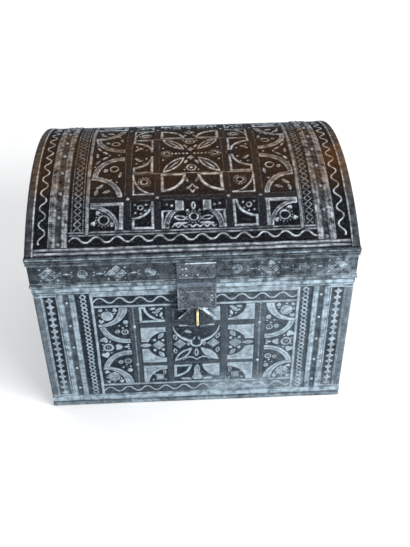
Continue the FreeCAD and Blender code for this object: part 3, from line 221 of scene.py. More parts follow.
@dataclass
class Pen:
    """Draws motifs on a relief in a local frame, in millimetres. A distance is negative inside its shape.

    Args:
        relief: The sheet that is drawn on.
        x: Each point's place across in this frame.
        z: Each point's place upwards in this frame.
    """

    relief: Relief
    x: Grid
    z: Grid

    def at(self, x: float, z: float, turn: float = 0, flip_x: int = 1, flip_z: int = 1) -> "Pen":
        """Give a pen at another place.

        Args:
            x: Its origin across.
            z: Its origin upwards.
            turn: The angle of its first axis, in degrees.
            flip_x: -1 draws everything mirrored across.
            flip_z: -1 draws everything upside down.

        Returns:
            The new pen.
        """
        across, up = self.x - x, self.z - z
        cosine, sine = math.cos(math.radians(turn)), math.sin(math.radians(turn))
        return Pen(
            self.relief,
            (across * cosine + up * sine) * flip_x,
            (up * cosine - across * sine) * flip_z,
        )

    def disc(self, radius: float) -> Grid:
        """Distance from a disc's edge."""
        return np.hypot(self.x, self.z) - radius

    def oblong(self, half_x: float, half_z: float) -> Grid:
        """Distance from an upright rectangle's edge."""
        return np.maximum(abs(self.x) - half_x, abs(self.z) - half_z)

    def between(self, x: Ends, z: Ends) -> Grid:
        """Distance from a rectangle's edge, given by its sides."""
        middle = self.at((x[0] + x[1]) / 2, (z[0] + z[1]) / 2)
        return middle.oblong(abs(x[1] - x[0]) / 2, abs(z[1] - z[0]) / 2)

    def lozenge(self, half_x: float, half_z: float) -> Grid:
        """Distance from a lozenge's edge."""
        share = abs(self.x) / half_x + abs(self.z) / half_z - 1
        return share * half_x * half_z / math.hypot(half_x, half_z)

    def lens(self, length: float, width: float) -> Grid:
        """Distance from the edge of a pointed petal along the first axis."""
        half, depth = length / 2, width / 2
        radius = (half * half + depth * depth) / (2 * depth)
        return np.hypot(self.x, abs(self.z) + radius - depth) - radius

    def heart(self, size: float) -> Grid:
        """Distance from the edge of a bud with two lobes and a point along the first axis."""
        lobes = [self.at(-size * 0.14, side * size * 0.24).disc(size * 0.27) for side in (-1, 1)]
        point = self.at(size * 0.12, 0).lozenge(size * 0.42, size * 0.44)
        return reduce(np.minimum, (*lobes, point))

    def serrated(self, radius: float, teeth: int) -> Grid:
        """Distance from the edge of a toothed disc."""
        turn = np.arctan2(self.z, self.x)
        return np.hypot(self.x, self.z) - radius * (1 + 0.07 * np.cos(teeth * turn))

    def star(self, half: float, cut: float, reach: float) -> Grid:
        """Distance from the edge of a lozenge whose sides are hollowed by four discs."""
        return overlap(self.lozenge(half, half), cut - np.hypot(abs(self.x) - reach, abs(self.z) - reach))

    def raise_to(
        self, distance: Grid, height: float = RAISED, tone: float = 1.0, slope: float = SLOPE
    ) -> None:
        """Lift what is inside a distance to a flat top and rub it.

        Args:
            distance: Signed distance, negative inside.
            height: The top's height over the ground.
            tone: How pale the top is rubbed, from 0 to 1.
            slope: Width of the sloping edge.
        """
        top = ease(0.5 - distance / slope)
        sheet = self.relief
        sheet.height = np.maximum(sheet.height, height * top)
        sheet.rub = np.maximum(sheet.rub * (1 - top * (tone < 0.4)), tone * ease(0.35 - distance / slope))

    def sink(self, distance: Grid, depth: float = 0.7, slope: float = SLOPE) -> None:
        """Press what is inside a distance back down and leave it dark."""
        top = ease(0.5 - distance / slope)
        sheet = self.relief
        sheet.height = sheet.height - depth * top
        sheet.rub = sheet.rub * (1 - 0.8 * top)

    def ridge(self, distance: Grid, width: float, height: float = LINE_HEIGHT, tone: float = 1.0) -> None:
        """Raise a rounded line whose middle is where a distance is 0."""
        crest = np.clip(1 - (2 * distance / (width + 0.8)) ** 2, 0, 1)
        self.relief.shape(height * crest, tone * ease(1.3 * crest))

    def stamp(
        self, distance: Grid, fill: Fill = SOLID, line: float = OUTLINE_WIDTH,
        height: float = RAISED, tone: float = 1.0,
    ) -> None:
        """Work a motif solid, outlined or with a doubled edge.

        Args:
            distance: Signed distance from its edge, negative inside.
            fill: How it is worked.
            line: Width of the outline.
            height: Height over the ground.
            tone: How pale it is rubbed.
        """
        if fill is OUTLINE:
            distance = np.maximum(distance, -distance - line)
        self.raise_to(distance, height, tone)
        if fill is DOUBLE:
            self.sink(abs(distance + line) - 0.5, 0.6, 1.3)

    def put(
        self, shape: Callable[..., Grid], size: Spot, *places: Spot,
        fill: Fill = SOLID, line: float = OUTLINE_WIDTH, height: float = RAISED, tone: float = 1.0,
    ) -> None:
        """Work the same motif at each of some places.

        Args:
            shape: The motif, as this class's own distance.
            size: The sizes that it takes.
            places: How far across and up each one is, and its turn in degrees where it has one.
            fill: How it is worked.
            line: Width of the outline.
            height: Height over the ground.
            tone: How pale it is rubbed.
        """
        for place in places:
            there = self.at(*place)
            there.stamp(shape(there, *size), fill, line, height, tone)

    def dots(self, places: Sequence[Ends], radius: float) -> None:
        """Raise a round dot at each place."""
        for x, z in places:
            self.at(x, z).raise_to(self.at(x, z).disc(radius), LINE_HEIGHT, 1.0, 1.5)

    def bead_ring(self, radius: float, beads: int, size: float) -> None:
        """Raise a ring of small beads round the origin."""
        step = FULL_TURN / beads
        turn = np.arctan2(self.z, self.x)
        turn = turn - np.round(turn / step) * step
        reach = np.hypot(self.x, self.z)
        away = np.hypot(reach * np.cos(turn) - radius, reach * np.sin(turn))
        self.raise_to(away - size, LINE_HEIGHT, 0.9, 1.4)

    def bead_row(self, length: float, pitch: float, size: float, tone: float = 0.9) -> None:
        """Raise a row of beads along the first axis, from the origin."""
        nearest = np.clip(np.round(self.x / pitch), 0, int(length / pitch)) * pitch
        self.raise_to(np.hypot(self.x - nearest, self.z) - size, LINE_HEIGHT, tone, 1.4)

    def wave(self, length: float, pitch: float, reach: float, width: float, phase: float = 0.0) -> None:
        """Raise a running wave along the first axis.

        Args:
            length: How far it runs from the origin.
            pitch: From crest to crest.
            reach: From the middle to a crest.
            width: The line's width.
            phase: Place of a crest.
        """
        turn = FULL_TURN * (self.x - phase) / pitch
        middle = reach * np.cos(turn) * (1.18 - 0.18 * np.cos(turn) ** 2)
        lean = reach * FULL_TURN / pitch * np.sin(turn)
        away = (self.z - middle) / np.hypot(1, lean)
        ends = np.maximum(-self.x, self.x - length)
        self.ridge(np.where(ends > 0, width, away), width)

    def braid(self, length: float, pitch: float, reach: float, width: float) -> None:
        """Raise two strands that pass over and under each other along the first axis.

        Args:
            length: How far the braid runs from the origin.
            pitch: From one loop to the next.
            reach: From the middle to a strand's crest.
            width: A strand's width.
        """
        ends = np.maximum(-self.x, self.x - length)
        for side in (1, -1):
            turn = math.pi * self.x / pitch
            lean = side * reach * math.pi / pitch * np.cos(turn)
            away = (self.z - side * reach * np.sin(turn)) / np.hypot(1, lean)
            over = 0.85 + 0.15 * side * np.cos(turn)
            crest = np.clip(1 - (2 * away / (width + 0.6)) ** 2, 0, 1) * (ends < 0)
            self.relief.shape(1.4 * over * crest, ease(1.5 * crest * over))

    def star_row(self, length: float, pitch: float, half_width: float) -> None:
        """Raise four-pointed stars tip to tip along the first axis, from the origin."""
        along = self.x - (np.clip(np.floor(self.x / pitch), 0, int(length / pitch) - 1) + 0.5) * pitch
        star = Pen(self.relief, along, self.z)
        hollow = half_width * 0.92
        cut = half_width * 0.66 - np.hypot(abs(along) - hollow, abs(self.z) - hollow)
        self.raise_to(np.maximum(star.lozenge(pitch / 2 + 0.8, half_width), cut), RAISED, 0.9, 1.5)

    def crossed(self, distance: Grid, tone: float = 0.03) -> None:
        """Lift a bar and leave it dark, with the fine crossed scoring that such bars carry."""
        self.raise_to(distance, 0.55, tone)
        sheet = self.relief
        sheet.hatch = np.maximum(sheet.hatch, ease(0.5 - distance / SLOPE))


class Side(Enum):
    """A side of the chest, by the way it faces."""

    FRONT = (0, -1)
    RIGHT = (1, 0)
    BACK = (0, 1)
    LEFT = (-1, 0)

    @property
    def word(self) -> str:
        """The side's name in the names of nodes and pieces."""
        return self.name.lower()

    @property
    def out(self) -> Grid:
        """The way that the side faces."""
        return np.array([*self.value, 0.0])

    @property
    def along(self) -> Grid:
        """The way to the right for someone who looks at the side."""
        return np.array([-self.value[1], self.value[0], 0.0])

    def face(self, node: str) -> float:
        """Distance of a node's outer face from the middle of the chest."""
        return float(max(self.out @ corner for corner in span(node)))

    def half_length(self, node: str) -> float:
        """How far a node reaches along the side from its middle."""
        return float(max(abs(self.along @ corner) for corner in span(node)))


UP = np.array([0.0, 0.0, 1.0])


def on_side(side: Side, face: float, mitre: float = 0.0, shift: float = 0.0) -> Place:
    """Lay a relief on a flat side.

    Args:
        side: The side.
        face: Distance of its face from the middle.
        mitre: Half length at the face of a piece whose ends are mitred, or 0 for square ends.
        shift: How far to the right of the side's middle the relief's middle lies.

    Returns:
        A function from places on the relief to points in space.
    """

    def place(x: Grid, z: Grid, height: Grid) -> Grid:
        stretch = 1 + height / mitre if mitre else np.ones_like(x)
        across = ((x + shift) * stretch)[..., None] * side.along
        return across + (face + height)[..., None] * side.out + z[..., None] * UP

    return place


def folded(x: Grid, height: Grid, corner: Grid, first: Grid, second: Grid, radius: float) -> Grid:
    """Lay a relief round an edge.

    Args:
        x: Distance along the sheet from the edge, negative on the first face.
        height: Height over the sheet.
        corner: Where the two faces would meet.
        first: The way that the first face looks.
        second: The way that the second face looks.
        radius: Radius of the rounded edge.

    Returns:
        The points in space.
    """
    arc = radius * math.pi / 4
    angle = (np.clip(x / arc, -1, 1) + 1) * math.pi / 4
    out = np.cos(angle)[..., None] * first + np.sin(angle)[..., None] * second
    before, after = np.minimum(x + arc, 0), np.maximum(x - arc, 0)
    curve = corner - radius * (first + second) + (radius + height)[..., None] * out
    return curve + before[..., None] * second - after[..., None] * first


def round_corner(first: Side, second: Side, corner: Grid, radius: float) -> Place:
    """Lay a relief round an upright corner.

    Args:
        first: The side to the left of the corner.
        second: The side to its right.
        corner: Where the two faces would meet, on the floor.
        radius: Radius of the rounded edge.

    Returns:
        A function from places on the relief to points in space.
    """

    def place(x: Grid, z: Grid, height: Grid) -> Grid:
        return folded(x, height, corner + z[..., None] * UP, first.out, second.out, radius)

    return place


@dataclass(frozen=True)
class Dome:
    """The lid's round top: a part of a cylinder along the chest.

    Args:
        radius: Radius of the covering's outside.
        middle: Height of its axis.
        edge: Height at which it starts.
    """

    radius: float
    middle: float
    edge: float

    @property
    def half_arc(self) -> float:
        """Length of the covering from its edge to the crown."""
        return self.radius * math.acos((self.edge - self.middle) / self.radius)

    def out(self, z: Grid) -> Grid:
        """The way that the dome faces at a distance from its crown, positive towards the back."""
        turn = z / self.radius
        return np.stack([np.zeros_like(z), np.sin(turn), np.cos(turn)], -1)

    def lay(self, x: Grid, z: Grid, height: Grid, shift: float = 0.0) -> Grid:
        """Lay a relief on the dome.

        Args:
            x: Places along the chest.
            z: Places from the crown towards the back.
            height: Heights over the covering.
            shift: How far to the right the relief lies.

        Returns:
            The points in space.
        """
        along = self.middle * UP + (x + shift)[..., None] * Side.RIGHT.out
        return along + (self.radius + height)[..., None] * self.out(z)

    def rise(self, y: Grid) -> Grid:
        """Height of the covering over a place across the chest."""
        return self.middle + np.sqrt(self.radius**2 - y**2)


def steps(low: float, high: float, cell: float, hidden: float = 0.0) -> Grid:
    """Give a grid's places, with one long step at each end where a moulding hides the sheet.

    Args:
        low: First place.
        high: Last place.
        cell: Distance between places.
        hidden: Length of the long step at each end.

    Returns:
        The places in order.
    """
    count = int(math.ceil((high - low - 2 * hidden) / cell)) + 1
    seen = np.linspace(low + hidden, high - hidden, count)
    return np.concatenate([[low], seen, [high]]) if hidden else seen


def quads(index: Grid) -> list[list[int]]:
    """Join a grid of vertex numbers into faces that look outwards."""
    ring = [index[:-1, :-1], index[:-1, 1:], index[1:, 1:], index[1:, :-1]]
    return np.stack(ring, -1).reshape(-1, 4).tolist()


SHARP_ANGLE = 62.0
STROKE_SHIFT = 90.0


def pressed_sheet(
    name: str, relief: Relief, place: Place, thickness: float, bent: bool = False
) -> bpy.types.Object:
    """Make a closed thin shell whose outer face is the relief.

    Args:
        name: The piece's name.
        relief: The worked sheet.
        place: Lays the relief in space.
        thickness: The shell's depth behind the flat sheet.
        bent: True if the sheet isn't straight across, so that its back follows the whole grid.

    Returns:
        The new object.
    """
    rows, columns = relief.x.shape
    index = np.arange(rows * columns).reshape(rows, columns)
    under = index + rows * columns
    kept = np.ones(2 * rows * columns, bool)
    if not bent:
        kept[under[1:-1, 1:-1]] = False
    rims = [(index[0], under[0]), (index[:, -1], under[:, -1])]
    rims += [(index[-1, ::-1], under[-1, ::-1]), (index[::-1, 0], under[::-1, 0])]
    faces = quads(index)
    for top, low in rims:
        faces += np.stack([top[:-1], low[:-1], low[1:], top[1:]], -1).tolist()
    if bent:
        faces += [face[::-1] for face in quads(under)]
    else:
        left, right = under[:, 0], under[:, -1]
        faces += np.stack([left[1:-2], left[2:-1], right[2:-1], right[1:-2]], -1).tolist()
        faces.append([left[0], left[1], right[1], *under[0, :0:-1].tolist()])
        faces.append([left[-2], *under[-1].tolist(), right[-2]])
    depths = (relief.height, np.full(relief.x.shape, -thickness))
    points = np.concatenate([place(relief.x, relief.z, depth).reshape(-1, 3) for depth in depths])
    renumber = np.cumsum(kept) - 1
    mesh = bpy.data.meshes.new(name)
    mesh.from_pydata(points[kept] * MM, [], [[int(renumber[v]) for v in face] for face in faces])
    shift = np.full(relief.x.shape, STROKE_SHIFT * relief.seed)
    run = np.stack([relief.x, relief.z, shift], -1).reshape(-1, 3)
    for title, values in (("rub", relief.rub), ("edge", relief.edges()), ("hatch", relief.hatch)):
        both = np.concatenate([values.ravel(), np.zeros(values.size)])[kept]
        mesh.attributes.new(title, "FLOAT", "POINT").data.foreach_set("value", both.astype(np.float32))
    both = np.concatenate([run, run])[kept].astype(np.float32)
    mesh.attributes.new("run", "FLOAT_VECTOR", "POINT").data.foreach_set("vector", both.ravel())
    mesh.shade_smooth()
    mesh.set_sharp_from_angle(angle=math.radians(SHARP_ANGLE))
    made = bpy.data.objects.new(name, mesh)
    bpy.context.scene.collection.objects.link(made)
    return made


def linear(colour: str) -> tuple[float, float, float, float]:
    """Turn an sRGB hex value into the linear colour that a shader takes."""
    shares = [int(colour[k : k + 2], 16) / 255 for k in (1, 3, 5)]
    return (*(s / 12.92 if s <= 0.04045 else ((s + 0.055) / 1.055) ** 2.4 for s in shares), 1.0)


def add(
    tree: bpy.types.NodeTree, kind: str, inputs: dict | Sequence = (), out: int | str = 0, **settings: object
) -> bpy.types.NodeSocket | None:
    """Add a node with its settings, and set or link its inputs.

    Args:
        tree: The node tree.
        kind: The node's type, without the words that every type starts with.
        inputs: A value or a socket for each input, in order, or by name or number.
        out: The output that is wanted, by name or number.
        settings: The node's own properties.

    Returns:
        That output, or None for a node that has none.
    """
    made = tree.nodes.new(f"ShaderNode{kind}")
    for name, value in settings.items():
        setattr(made, name, value)
    for name, value in inputs.items() if isinstance(inputs, dict) else enumerate(inputs):
        if isinstance(value, bpy.types.NodeSocket):
            tree.links.new(value, made.inputs[name])
        else:
            made.inputs[name].default_value = value
    return made.outputs[out] if made.outputs else None


def new_tree(title: str) -> tuple[bpy.types.Material, bpy.types.NodeTree]:
    """Make an empty node material."""
    material = bpy.data.materials.new(title)
    material.use_nodes = True
    material.node_tree.nodes.clear()
    return material, material.node_tree


@dataclass(frozen=True)
class PatinatedMetal:
    """White-metal sheet, embossed, blackened with patina and rubbed back by hand.

    Args:
        title: The material's name.
        slot: A material slot's name; not used.
        recess: Colour of the patina in the ground.
        crest: Colour of the rubbed tops.
        warm_lit_recess: Patina's colour near the crown, browned by a painted warm reflection of the room.
        warm_lit_crest: Colour of the rubbed tops under that painted reflection.
        top_gain: How much a flat top is rubbed.
        edge_gain: How much an edge or a thin line is rubbed.
        streak: Length and width of the rubbing strokes, in millimetres.
        warm_lit_heights: Heights between which the painted warm reflection browns the patina, in millimetres.
        metallic: How metallic a fully rubbed place looks. The patina itself is a dull crust.
        sheen: How much the crust reflects.
        contrast: How far the strokes break up the rubbed tops.
        scoring: How pale the crossed scoring of the bars is.
        punching: How pale the fine punching of the ground is.
        warm_glint: Distances to the right between which the crown carries a painted amber reflection of a
            warm lamp, in millimetres.
    """

    title: str
    slot: str
    recess: str
    crest: str
    warm_lit_recess: str = "#2A211B"
    warm_lit_crest: str = "#A08F80"
    top_gain: float = 0.85
    edge_gain: float = 0.4
    streak: Ends = (24.0, 1.3)
    warm_lit_heights: Ends = (900.0, 1000.0)
    metallic: float = 0.5
    sheen: float = 0.14
    contrast: float = 1.0
    scoring: float = 0.14
    punching: float = 0.16
    warm_glint: Ends = (900.0, 1000.0)

    # Colour of the painted amber reflection of a warm lamp near the crown.
    WARM_GLINT = "#7B4A25"
    WARM_GLINT_HEIGHTS = (376.0, 382.5)
    GRAIN = 1.1
    MATTING = 2.4
    MOTTLE = 9.0
    PATCH = 42.0
    SCORE_PITCH = 3.0
    # One wave of the wave texture at scale 1.
    WAVE_LENGTH = 0.314
    # From which values of a noise to which a look changes, and from what to what.
    BREAKS = (0.78, 1.22)
    BREAK_DEPTHS = (-0.75, 0.3)
    SCORES = (0.75, 1.0, 0.0)
    PUNCHES = (0.52, 0.7, 0.0)
    WARM_LIT_PATCHES = (0.3, 0.6, 0.45, 1.0)
    WARM_GLINT_PATCHES = (0.42, 0.66, 0.05, 0.42)
    SHADES = (0.3, 0.7, 0.82, 1.14)
    ROUGHNESS = (0.0, 1.0, 0.66, 0.44)
    PIT_STRENGTH = 0.5
    PIT_DEPTH = 0.12

    def build(self) -> bpy.types.Material:
        """Make the material: rubbing gives the amount of bare metal, heights and patches its colours, with
        painted warm reflections near the crown.
        """
        material, tree = new_tree(self.title)
        rub, edge, hatch = (
            add(tree, "Attribute", out="Fac", attribute_name=name) for name in ("rub", "edge", "hatch")
        )
        run = add(tree, "Attribute", out="Vector", attribute_name="run")
        place = add(tree, "TexCoord", out="Object")
        stretch = (1 / self.streak[0], 1 / self.streak[1], 1.0)
        strokes = add(tree, "Mapping", {"Vector": run, "Scale": stretch})
        stroke = add(tree, "TexNoise", {"Vector": strokes, "Scale": 1.0, "Detail": 3.0})
        grain, matting, mottle, patch = (
            add(tree, "TexNoise", {"Vector": place, "Scale": 1 / (size * MM), "Detail": 2.0})
            for size in (self.GRAIN, self.MATTING, self.MOTTLE, self.PATCH)
        )
        tops = add(tree, "Math", (rub, self.top_gain), operation="MULTIPLY")
        bare = add(tree, "Math", (edge, self.edge_gain, tops), operation="MULTIPLY_ADD")
        mixed = add(tree, "Math", (stroke, mottle), operation="ADD")
        depths = (1 + depth * self.contrast for depth in self.BREAK_DEPTHS)
        broken = add(tree, "MapRange", (mixed, *self.BREAKS, *depths))
        amount = add(tree, "Math", (bare, broken), operation="MULTIPLY", use_clamp=True)
        # The scoring on the bars is drawn coarser than the real lines, which are too fine to show.
        lines = []
        for turn in (45, -45):
            slant = add(tree, "Mapping", {"Vector": run, "Rotation": (0, 0, math.radians(turn))})
            wave = {"Vector": slant, "Scale": self.WAVE_LENGTH / self.SCORE_PITCH}
            lines.append(add(tree, "TexWave", wave, "Fac"))
        crossed = add(tree, "Math", lines, operation="MAXIMUM")
        scored = add(tree, "MapRange", (crossed, *self.SCORES, self.scoring))
        punched = add(tree, "MapRange", (matting, *self.PUNCHES, self.punching))
        marked = add(tree, "Math", (scored, hatch, punched), operation="MULTIPLY_ADD")
        amount = add(tree, "Math", (amount, marked), operation="ADD", use_clamp=True)
        # Painted reflections: the room's warm light browns the patina near the crown, and a warm lamp leaves
        # an amber glint on its right.
        warm_lit, high, warm_glint = (
            add(
                tree, "MapRange", (add(tree, "SeparateXYZ", (place,), axis), *(end * MM for end in ends)),
                interpolation_type="SMOOTHSTEP",
            )
            for axis, ends in (("Z", self.warm_lit_heights), ("Z", self.WARM_GLINT_HEIGHTS), ("X", self.warm_glint))
        )
        patches = add(tree, "MapRange", (patch, *self.WARM_LIT_PATCHES))
        warm_lit = add(tree, "Math", (warm_lit, patches), operation="MULTIPLY")
        dark, pale = (
            add(tree, "Mix", {0: warm_lit, 6: linear(low), 7: linear(top)}, 2, data_type="RGBA")
            for low, top in ((self.recess, self.warm_lit_recess), (self.crest, self.warm_lit_crest))
        )
        colour = add(tree, "Mix", {0: amount, 6: dark, 7: pale}, 2, data_type="RGBA")
        # Painted reflection: the amber glint, where the crown's heights and the right-hand distances meet, in
        # patches.
        glow = add(tree, "Math", (high, warm_glint), operation="MULTIPLY")
        glint_patches = add(tree, "MapRange", (patch, *self.WARM_GLINT_PATCHES))
        glow = add(tree, "Math", (glow, glint_patches), operation="MULTIPLY")
        colour = add(tree, "Mix", {0: glow, 6: colour, 7: linear(self.WARM_GLINT)}, 2, data_type="RGBA")
        shade = add(tree, "MapRange", (mottle, *self.SHADES))
        colour = add(tree, "Mix", {0: 1.0, 6: colour, 7: shade}, 2, data_type="RGBA", blend_type="MULTIPLY")
        rough = add(tree, "MapRange", (amount, *self.ROUGHNESS))
        pits = add(tree, "Math", (grain, stroke), operation="ADD")
        bump = {"Height": pits, "Strength": self.PIT_STRENGTH, "Distance": self.PIT_DEPTH * MM}
        shader = {
            "Base Color": colour, "Roughness": rough, "Normal": add(tree, "Bump", bump),
            "Metallic": add(tree, "Math", (amount, self.metallic), operation="MULTIPLY"),
            "Specular IOR Level": self.sheen,
        }
        add(tree, "OutputMaterial", {"Surface": add(tree, "BsdfPrincipled", shader)})
        return material


@dataclass(frozen=True)
class HandledMetal:
    """Metal without a drawing, such as nails, hinges, pins and rod: worn where it stands out, with painted
    shade in its corners from ambient occlusion.

    Args:
        title: The material's name.
        slot: A material slot's name; not used.
        dull: Colour in the corners, where shade is painted, and in unworn patches.
        bright: Colour of the handled surface.
        metallic: Share of bare metal in the look.
        roughness: Roughness of the handled surface.
        corner: How far a corner's shade reaches, in millimetres.
    """

    title: str
    slot: str
    dull: str
    bright: str
    metallic: float
    roughness: float
    corner: float = 2.5

    GRAIN = 0.8
    MOTTLE = 5.0
    OPENNESS = (0.35, 0.8)
    WEAR = (0.35, 0.62, 0.55, 1.0)
    DULLING = 0.25
    DULLEST = 0.9

    def build(self) -> bpy.types.Material:
        """Make the material from the nearness of other surfaces, mottling and grain; the nearness paints
        shade into corners.
        """
        material, tree = new_tree(self.title)
        place = add(tree, "TexCoord", out="Object")
        grain, mottle = (
            add(tree, "TexNoise", {"Vector": place, "Scale": 1 / (size * MM), "Detail": 3.0})
            for size in (self.GRAIN, self.MOTTLE)
        )
        # Painted shade: ambient occlusion darkens the colour in corners and next to other parts.
        openness = add(tree, "AmbientOcclusion", {"Distance": self.corner * MM}, "AO", samples=8)
        opened = add(tree, "MapRange", (openness, *self.OPENNESS))
        worn = add(tree, "MapRange", (mottle, *self.WEAR))
        amount = add(tree, "Math", (opened, worn), operation="MULTIPLY")
        colours = {0: amount, 6: linear(self.dull), 7: linear(self.bright)}
        dullest = min(self.roughness + self.DULLING, self.DULLEST)
        shader = {
            "Base Color": add(tree, "Mix", colours, 2, data_type="RGBA"), "Metallic": self.metallic,
            "Roughness": add(tree, "MapRange", {0: amount, 3: dullest, 4: self.roughness}),
            "Normal": add(tree, "Bump", {"Height": grain, "Strength": 0.4, "Distance": 0.1 * MM}),
        }
        add(tree, "OutputMaterial", {"Surface": add(tree, "BsdfPrincipled", shader)})
        return material


@dataclass(frozen=True)
class OiledWood:
    """Planed softwood, oiled dark: long grain lines with lighter wood between them.

    Args:
        title: The material's name.
        slot: A material slot's name; not used.
        early: Colour of the wood between the lines.
        late: Colour of the grain lines.
        grain: Size of the figure along each axis, in millimetres: long with the grain, fine across it.
    """

    title: str
    slot: str
    early: str
    late: str
    grain: tuple[float, float, float]

    RINGS = (0.38, 0.64)
    PORES = (0.3, 0.7, 0.52, 0.72)
    WOOD_IOR = 1.5

    def build(self) -> bpy.types.Material:
        """Make the material from stretched noise for the figure and finer noise for the pores."""
        material, tree = new_tree(self.title)
        place = add(tree, "TexCoord", out="Object")
        scale = tuple(1 / (size * MM) for size in self.grain)
        figure = add(tree, "Mapping", {"Vector": place, "Scale": scale})
        rings = add(tree, "TexNoise", {"Vector": figure, "Scale": 1.0, "Detail": 4.0, "Distortion": 0.6})
        pores = add(tree, "TexNoise", {"Vector": figure, "Scale": 6.0, "Detail": 2.0})
        share = add(tree, "MapRange", (rings, *self.RINGS))
        colours = {0: share, 6: linear(self.early), 7: linear(self.late)}
        shader = {
            "Base Color": add(tree, "Mix", colours, 2, data_type="RGBA"), "IOR": self.WOOD_IOR,
            "Roughness": add(tree, "MapRange", (pores, *self.PORES)),
            "Normal": add(tree, "Bump", {"Height": pores, "Strength": 0.35, "Distance": 0.25 * MM}),
        }
        add(tree, "OutputMaterial", {"Surface": add(tree, "BsdfPrincipled", shader)})
        return material


Finish = PatinatedMetal | HandledMetal | OiledWood

# Embossed white metal on the box: blue-black patina, rubbed to a pale blue-grey on every raised part.
FRONT_METAL = PatinatedMetal(
    "embossed_sheet_blue_patina", "front_sheet_metal", "#131D28", "#A3B4C0", top_gain=0.9, contrast=0.5
)
# The same sheet on the lid, less rubbed: near black, with pale lines, a crown browned by a painted warm
# reflection of the room and a painted amber reflection on its right.
LID_METAL = PatinatedMetal(
    "embossed_sheet_brown_patina", "lid_sheet_metal", "#0F1014", "#B4BDC6", warm_lit_recess="#2B1D12",
    warm_lit_crest="#AC9E90", top_gain=0.24, edge_gain=0.64, warm_lit_heights=(358.0, 378.0), scoring=0.03, punching=0.06,
    metallic=0.4, sheen=0.01, warm_glint=(196.0, 216.0),
)
# Pressed mouldings: handled most, so their crests are streaked pale along their length.
MOULDING_METAL = PatinatedMetal(
    "pressed_moulding_streaked_patina", "moulding_metal", "#19232C", "#A6B9C6", top_gain=0.95, edge_gain=0.2,
    streak=(46.0, 1.2), contrast=0.9,
)
# Mouldings on the lid: the same section, darker, browned towards the crown by a painted warm reflection, with
# a painted amber reflection on the right.
LID_MOULDING_METAL = PatinatedMetal(
    "pressed_moulding_brown_patina", "moulding_metal", "#0E0E12", "#BEC6CE", warm_lit_recess="#291C12",
    warm_lit_crest="#A89788", top_gain=0.4, edge_gain=0.3, streak=(46.0, 0.8), warm_lit_heights=(358.0, 378.0),
    contrast=1.5, metallic=0.4, sheen=0.01, warm_glint=(200.0, 226.0),
)
# Engraved rim band: dark, with pale dots, lozenges and bead crests.
RIM_METAL = PatinatedMetal(
    "engraved_band_dark_patina", "rim_metal", "#0D131A", "#AEC0CC", top_gain=0.8, edge_gain=0.2,
    streak=(40.0, 1.4), contrast=1.2,
)
# Hasp: thicker plate, dark grey, with its engraving and its edges rubbed bright.
HASP_METAL = PatinatedMetal(
    "engraved_steel_plate_dark", "hasp_metal", "#121C29", "#CAD7E2", top_gain=0.95, edge_gain=0.25,
    streak=(9.0, 1.0), metallic=0.4, sheen=0.2, punching=0.2,
)
# Domed nails: small steel heads, rubbed bright on top, and black round their rims, partly painted shade where
# they meet the sheet.
NAIL_STEEL = HandledMetal("domed_nail_steel_rubbed", "nail_metal", "#20262C", "#B9C6D0", 0.6, 0.42, 2.0)
# The lid's nails: the same heads, less rubbed and browner.
LID_NAIL_STEEL = HandledMetal("domed_nail_steel_dull", "nail_metal", "#131316", "#7C7F83", 0.5, 0.48, 2.0)
# Hasp pin and rolled barrel: steel that hands keep bright.
PIN_STEEL = HandledMetal("pin_steel_rubbed", "hasp_metal", "#2C343C", "#A9B8C4", 0.6, 0.4)
# Sides and backs of the hasp's plate and leaf: the same steel, dull where no hand rubs it and in corners
# where shade is painted.
LEAF_STEEL = HandledMetal("hasp_plate_steel_dull", "hasp_metal", "#151C24", "#65727E", 0.5, 0.5, 2.0)
# Plate under the staple: steel that nobody touches, painted nearly black as the shade inside the leaf's slot.
SLOT_SHADE_STEEL = HandledMetal("staple_plate_painted_shade", "hasp_metal", "#050607", "#0C0E11", 0.3, 0.85)
# Staple: brass rod that the hasp and the padlock keep polished.
STAPLE_BRASS = HandledMetal("staple_rod_polished_brass", "staple_brass", "#6E6134", "#F0E4B4", 0.75, 0.3)
# Hinges: wrought iron, dull and nearly black.
HINGE_IRON = HandledMetal("hinge_wrought_iron", "hinge_iron", "#17171A", "#4A4B4E", 0.7, 0.55)
# Carcass boards with the grain along the chest, and those with the grain from front to back.
LONG_WOOD = OiledWood("oiled_softwood_long_grain", "board_wood", "#7A5335", "#4A2E1B", (260.0, 9.0, 9.0))
CROSS_WOOD = OiledWood("oiled_softwood_cross_grain", "board_wood", "#74502F", "#482C1A", (9.0, 260.0, 9.0))


class Workshop:
    """Dresses pieces: builds each finish once and ties every piece to its body and nodes."""

    def __init__(self) -> None:
        """Start with no finish built."""
        self._built: dict[str, bpy.types.Material] = {}

    def finish(self, finish: Finish) -> bpy.types.Material:
        """Give a finish's material, built on first use."""
        if finish.title not in self._built:
            self._built[finish.title] = finish.build()
        return self._built[finish.title]

    def cover(
        self, name: str, sheet: Relief, place: Place, finish: Finish, body: str, *nodes: str,
        thickness: float = 0.0, bent: bool = False,
    ) -> None:
        """Press a sheet, finish it and put it on the chest.

        Args:
            name: The piece's name.
            sheet: The worked sheet.
            place: Lays it in space.
            finish: Its finish.
            body: The body that it moves with.
            nodes: The construction nodes that it stands for.
            thickness: Its depth behind the flat sheet.
            bent: True if its back follows the whole grid.
        """
        piece = pressed_sheet(name, sheet, place, thickness, bent)
        piece.data.materials.append(self.finish(finish))
        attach(piece, body)
        if nodes:
            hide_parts(*nodes)
        LOG.info("%s: %d faces, on %s", piece.name, len(piece.data.polygons), body)

    def dress(self, finish: Finish, *nodes: str) -> None:
        """Give construction nodes their finish, with their shapes as they are."""
        for node in nodes:
            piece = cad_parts[node]
            piece.data.materials.clear()
            piece.data.materials.append(self.finish(finish))
            LOG.info("%s: dressed as %s", node, finish.title)


